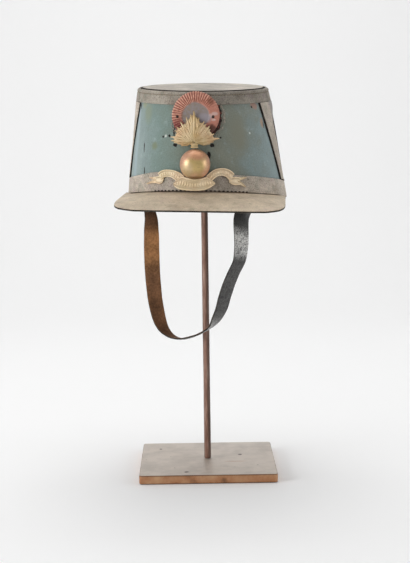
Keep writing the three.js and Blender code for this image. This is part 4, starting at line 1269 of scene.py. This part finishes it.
def addStrap(shape):
    def anchor(side, height):
        angle = np.array(side * math.pi / 2)
        point = onHat(wallPoint(angle, shareUp(angle, height), -shape["anchorInset"] + 0.35))
        return (*point, 90 + hatPose["turn"])

    route = np.array([anchor(-1, shape["anchorTop"]), anchor(-1, shape["anchorFoot"]), *strapPath,
                      anchor(1, shape["anchorFoot"]), anchor(1, shape["anchorTop"])])
    lengths = np.linalg.norm(np.diff(route[:, :3], axis=0), axis=1) ** 0.5
    knots = np.concatenate([[0], np.cumsum(lengths)])
    t = np.linspace(0, knots[-1], shape["steps"])
    centre = np.empty((shape["steps"], 4))
    slopes = np.gradient(route, knots, axis=0)
    for i, value in enumerate(t):
        k = min(np.searchsorted(knots, value, side="right") - 1, len(route) - 2)
        gap = knots[k + 1] - knots[k]
        f = (value - knots[k]) / gap
        centre[i] = ((2 * f ** 3 - 3 * f ** 2 + 1) * route[k] + (f ** 3 - 2 * f ** 2 + f) * gap * slopes[k]
                     + (-2 * f ** 3 + 3 * f ** 2) * route[k + 1] + (f ** 3 - f ** 2) * gap * slopes[k + 1])
    line = centre[:, :3]
    along = np.gradient(line, axis=0)
    along /= np.linalg.norm(along, axis=1, keepdims=True)
    turn = np.radians(centre[:, 3])
    across = np.stack([np.cos(turn), np.sin(turn), -0.16 * np.sin(turn) * smoothStep(230, 190, line[:, 2])], -1)
    across -= along * (across * along).sum(1, keepdims=True)
    across /= np.linalg.norm(across, axis=1, keepdims=True)
    face = np.cross(along, across)
    walk = np.concatenate([[0], np.cumsum(np.linalg.norm(np.diff(line, axis=0), axis=1))])
    loop = slabLoop(shape["width"], shape["thickness"], 0.7, across=12)
    half = shape["width"] / 2
    rows, marks = [], []
    for a, depth in loop:
        crease = 0.22 * (math.exp(-((a - 1.9) / 0.3) ** 2) + math.exp(-((shape["width"] - a - 1.9) / 0.3) ** 2))
        cup = 0.35 * ((a - half) / half) ** 2
        wrinkle = 0.12 * np.sin(walk / 3.1 + 1.3 * np.sin(a / 5)) + 0.15 * np.sin(walk / 11 + a / 9)
        height = depth - shape["thickness"] / 2 + cup + wrinkle
        height = height - crease if depth > shape["thickness"] / 2 else height + crease
        edge = 0.15 * np.sin(walk / 17 + (0 if a < half else 2))
        rows.append(line + across * (a - half + edge)[:, None] + face * height[:, None])
        marks.append(np.stack([walk, 0 * walk + a], -1))
    points = np.stack(rows, 1)
    around = len(loop)
    choose = []
    for j in range(around):
        middle = (loop[j][1] + loop[(j + 1) % around][1]) / 2
        choose.append(1 if middle > shape["thickness"] - 0.25 else 2 if middle > 0.25 else 0)
    addPiece("chinStrapLeather", points, skinFaces(shape["steps"], around),
             [makeStrapGrain(strapLook), makeStrapFlesh(strapLook), edgeDye], ["chin_strap"],
             onHat=False, marks=np.stack(marks, 1), choose=choose * (shape["steps"] - 1) + [2, 2])


addStrap(strapShape)
print("strap done")


# ---- stitches ----

stitchLooks = {"dark": "#221c18", "linen": "#8d7b5e"}


def addStitches(name, angles, place, pitch, length, radius, material):
    route = place(angles)
    walk = np.concatenate([[0], np.cumsum(np.linalg.norm(np.diff(route, axis=0), axis=1))])
    skins = []
    turn = np.linspace(0, 2 * math.pi, 8, endpoint=False)
    for start in np.arange(0.5, walk[-1] - length, pitch):
        spots = start + np.linspace(0, length, 6)
        line = np.stack([np.interp(spots, walk, route[:, i]) for i in range(3)], -1)
        outward = np.stack([line[:, 0] / 86 ** 2, line[:, 1] / 103 ** 2, 0 * line[:, 0]], -1)
        outward /= np.linalg.norm(outward, axis=1, keepdims=True)
        run = line[-1] - line[0]
        run /= np.linalg.norm(run)
        up = np.cross(run, outward)
        size = radius * np.array([0.35, 0.85, 1, 1, 0.85, 0.35])
        sink = radius * np.array([-0.9, -0.1, 0.3, 0.3, -0.1, -0.9])
        loops = [line + outward * (sink + size * math.cos(a))[:, None] + up * (size * math.sin(a))[:, None]
                 for a in turn]
        skins.append((np.stack(loops, 1),))
    points, faces, _ = joinSkins(skins)
    addPiece(name, points, faces, [material])


darkThread = makeThread("waxedThreadDark", stitchLooks["dark"])
linenThread = makeThread("waxedThreadLinen", stitchLooks["linen"])
addStitches("visorStitches", np.radians(np.linspace(-33, 36, 300)),
            lambda a: wallPoint(a, shareUp(a, 0.55), 1.8), 4.5, 3.2, 0.62, darkThread)
addStitches("rimStitches", np.radians(np.linspace(0, 359, 900)),
            lambda a: wallPoint(a, shareDown(a, 3.95), 0.6), 3.2, 2.2, 0.24, linenThread)
addStitches("liningStitches", np.radians(np.linspace(0, 359, 900)),
            lambda a: wallPoint(a, shareUp(a, 2.4), -4.1), 5.0, 3.2, 0.3, linenThread)
print("stitches done")


# ---- stand ----

standShape = {
    "side": 150, "thickness": 10, "cornerShare": 0.022, "sideSteps": 22,
    "rodRadius": 3.75, "rodSides": 40, "rodSections": 80}

plateLook = {
    "pale": "#c9bdb1", "grey": "#b5aa9f", "pit": "#55463c", "rust": "#ab7751", "paleRust": "#c49a74", "dark": "#55402f",
    "pits": [(-24, -61, 1.6, 2.2), (-54, 45, 1.1, 1.6), (37, 14, 1.4, 2.2)],
    "scratch": [(31, -17, 8, 0.6)]}


# Hot-rolled steel plate, pickled and waxed: a dusty face painted pale grey, partly a painted reflection of the pale
# surroundings, with black pits, and sawn edges gone rusty orange-brown with dark corners.
def makePlateSteel(look, edge):
    material, tree = newMaterial("rustedEdgeSteel" if edge else "steelTopWithPaintedReflection", {
        "Metallic": 0.25 if edge else 0.35, "Roughness": 0.55 if edge else 0.42})
    place = addNode(tree, "TexCoord").outputs["Object"]
    cloud = addNode(tree, "TexNoise", {"Scale": 42, "Detail": 6, "Roughness": 0.6}, {"Vector": place})
    if edge:
        base = addNode(tree, "ValToRGB", {"ramp": [
            (0.3, look["dark"]), (0.46, look["rust"]), (0.66, look["paleRust"])]}, {"Fac": cloud})
        split = addNode(tree, "SeparateXYZ", None, {0: place})
        upper = addNode(tree, "MapRange", {"From Min": 8.3 * mm, "From Max": 9.6 * mm, "To Max": 0.8},
                        {"Value": split.outputs["Z"]})
        lower = addNode(tree, "MapRange", {"From Min": 1.7 * mm, "From Max": 0.4 * mm, "To Max": 0.9},
                        {"Value": split.outputs["Z"]})
        dark = addNode(tree, "Math", {"operation": "MAXIMUM"}, {0: upper, 1: lower})
        mixed = addNode(tree, "Mix", {"data_type": "RGBA", 7: toLinear(look["dark"])},
                        {"Factor": dark, 6: base.outputs[0]})
        colour = mixed.outputs[2]
    else:
        # The top face's pale colours are dust together with a painted reflection.
        base = addNode(tree, "ValToRGB", {"ramp": [(0.36, look["grey"]), (0.6, look["pale"])]}, {"Fac": cloud})
        pits = addNode(tree, "TexVoronoi", {"Scale": 55, "Randomness": 1.0}, {"Vector": place})
        fine = addNode(tree, "TexNoise", {"Scale": 300, "Detail": 3}, {"Vector": place})
        size = addNode(tree, "Math", {"operation": "MULTIPLY_ADD", 1: 0.25, 2: -0.09}, {0: fine})
        depth = addNode(tree, "Math", {"operation": "ADD"}, {0: pits.outputs["Distance"], 1: size})
        pit = addNode(tree, "MapRange", {"From Min": 0.085, "From Max": 0.045}, {"Value": depth})
        mixed = addNode(tree, "Mix", {"data_type": "RGBA", 7: toLinear(look["pit"])},
                        {"Factor": pit, 6: base.outputs[0]})
        colour = mixed.outputs[2]
        flat = addNode(tree, "VectorMath", {"operation": "MULTIPLY", 1: (1, 1, 0)}, {0: place})
        ragged = addNode(tree, "MapRange", {"To Min": -0.7, "To Max": 0.7}, {"Value": fine})
        spots = [(*spot, look["pit"], 0.8) for spot in look["pits"]]
        spots += [(*spot, look["rust"], 0.8) for spot in look["scratch"]]
        colour, _ = paintSpots(tree, flat, ragged, spots, colour)
    finishSurface(tree, {"Base Color": colour}, cloud, 0.2, 0.3)
    return material


# Round steel bar browned with rust and waxed, smooth with lighter streaks along it.
def makeRodSteel():
    material, tree = newMaterial("brownedSteelBar", {
        "Metallic": 0.0, "Roughness": 0.42, "Specular IOR Level": 0.35})
    place = addNode(tree, "TexCoord").outputs["Object"]
    stretched = addNode(tree, "VectorMath", {"operation": "MULTIPLY", 1: (1, 1, 0.12)}, {0: place})
    streaks = addNode(tree, "TexNoise", {"Scale": 260, "Detail": 5, "Roughness": 0.6}, {"Vector": stretched})
    colour = addNode(tree, "ValToRGB", {"ramp": [(0.32, "#6c4b3e"), (0.5, "#9a7463"), (0.7, "#bd9f90")]},
                     {"Fac": streaks})
    # A painted highlight strip left of the bar's middle and painted shade down its other side.
    split = addNode(tree, "SeparateXYZ", None, {0: place})
    reach = standShape["rodRadius"] * mm
    acrossBar = addNode(tree, "MapRange", {"From Min": -reach, "From Max": reach}, {"Value": split.outputs["X"]})
    grime = addNode(tree, "ValToRGB", {"ramp": [
        (0.0, 0.62), (0.25, 0.85), (0.42, 0.95), (0.56, 0.62), (0.72, 0.4), (0.9, 0.32), (1.0, 0.45)]},
        {"Fac": acrossBar})
    grimy = addNode(tree, "VectorMath", {"operation": "MULTIPLY"}, {0: colour, 1: grime})
    finishSurface(tree, {"Base Color": grimy}, streaks, 0.25, 0.2)
    return material


# Turned beech, oiled: pale brown with fine growth rings.
def makeBeech():
    material, tree = newMaterial("oiledBeech", {"Roughness": 0.6})
    place = addNode(tree, "TexCoord").outputs["Object"]
    rings = addNode(tree, "TexWave", {"Scale": 90, "Distortion": 3, "Detail": 3}, {"Vector": place})
    colour = addNode(tree, "ValToRGB", {"ramp": [(0.2, "#9a7248"), (0.8, "#b98f62")]}, {"Fac": rings})
    finishSurface(tree, {"Base Color": colour})
    return material


def addStand(shape):
    half, thick = shape["side"] / 2, shape["thickness"]
    rounded = shape["cornerShare"]
    outline = []
    corners = [(-1, -1), (1, -1), (1, 1), (-1, 1)]
    for k in range(4):
        start, end = (np.array(corners[i % 4]) * half for i in (k, k + 1))
        outline += [lerp(start, end, s) for s in np.linspace(rounded, 1 - rounded, shape["sideSteps"])]
        # The corner at the end of this side, rounded.
        before, after = outline[-1], end + (end - start) @ np.array([[0, 1], [-1, 0]]) * rounded
        outline += [before * (1 - s) ** 2 + end * 2 * s * (1 - s) + after * s ** 2 for s in (0.25, 0.5, 0.75)]
    outline = np.array(outline)
    loops = []
    walk = np.arange(len(outline))
    for inset, z in ((1.6, 0.0), (0.8, 0.25), (0.25, 0.8), (0, 1.7), (0, 5), (0, 8.7), (0.12, 9.4), (0.5, 9.85),
                     (1.2, thick)):
        nick = 0.1 * np.sin(walk * 1.7) * np.sin(walk * 0.37) * (z > 0)
        shrink = ((half - inset - nick) / half)[:, None]
        loops.append(np.concatenate([outline * shrink, np.full((len(outline), 1), z)], 1))
    around = len(outline)
    addPiece("standPlate", np.stack(loops, 0), skinFaces(len(loops), around),
             [makePlateSteel(plateLook, False), makePlateSteel(plateLook, True)], ["stand_plate"],
             onHat=False, choose=[1] * (7 * around) + [0] * around + [0, 0])
    turn = np.linspace(0, 2 * math.pi, shape["rodSides"], endpoint=False)
    low, high = (corner[2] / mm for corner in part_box("stand_rod"))
    loops = []
    for z in [low, *np.linspace(low + 0.5, high - 0.5, shape["rodSections"]), high]:
        radius = shape["rodRadius"] + 0.05 * math.sin(z / 23) - (0.5 if z in (low, high) else 0)
        loops.append(np.stack([radius * np.cos(turn), radius * np.sin(turn), 0 * turn + z], -1))
    addPiece("standRod", np.stack(loops, 0), skinFaces(len(loops), shape["rodSides"]), [makeRodSteel()],
             ["stand_rod"], onHat=False)
    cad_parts["stand_pad"].data.materials.clear()
    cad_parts["stand_pad"].data.materials.append(makeBeech())


addStand(standShape)
print("stand done")
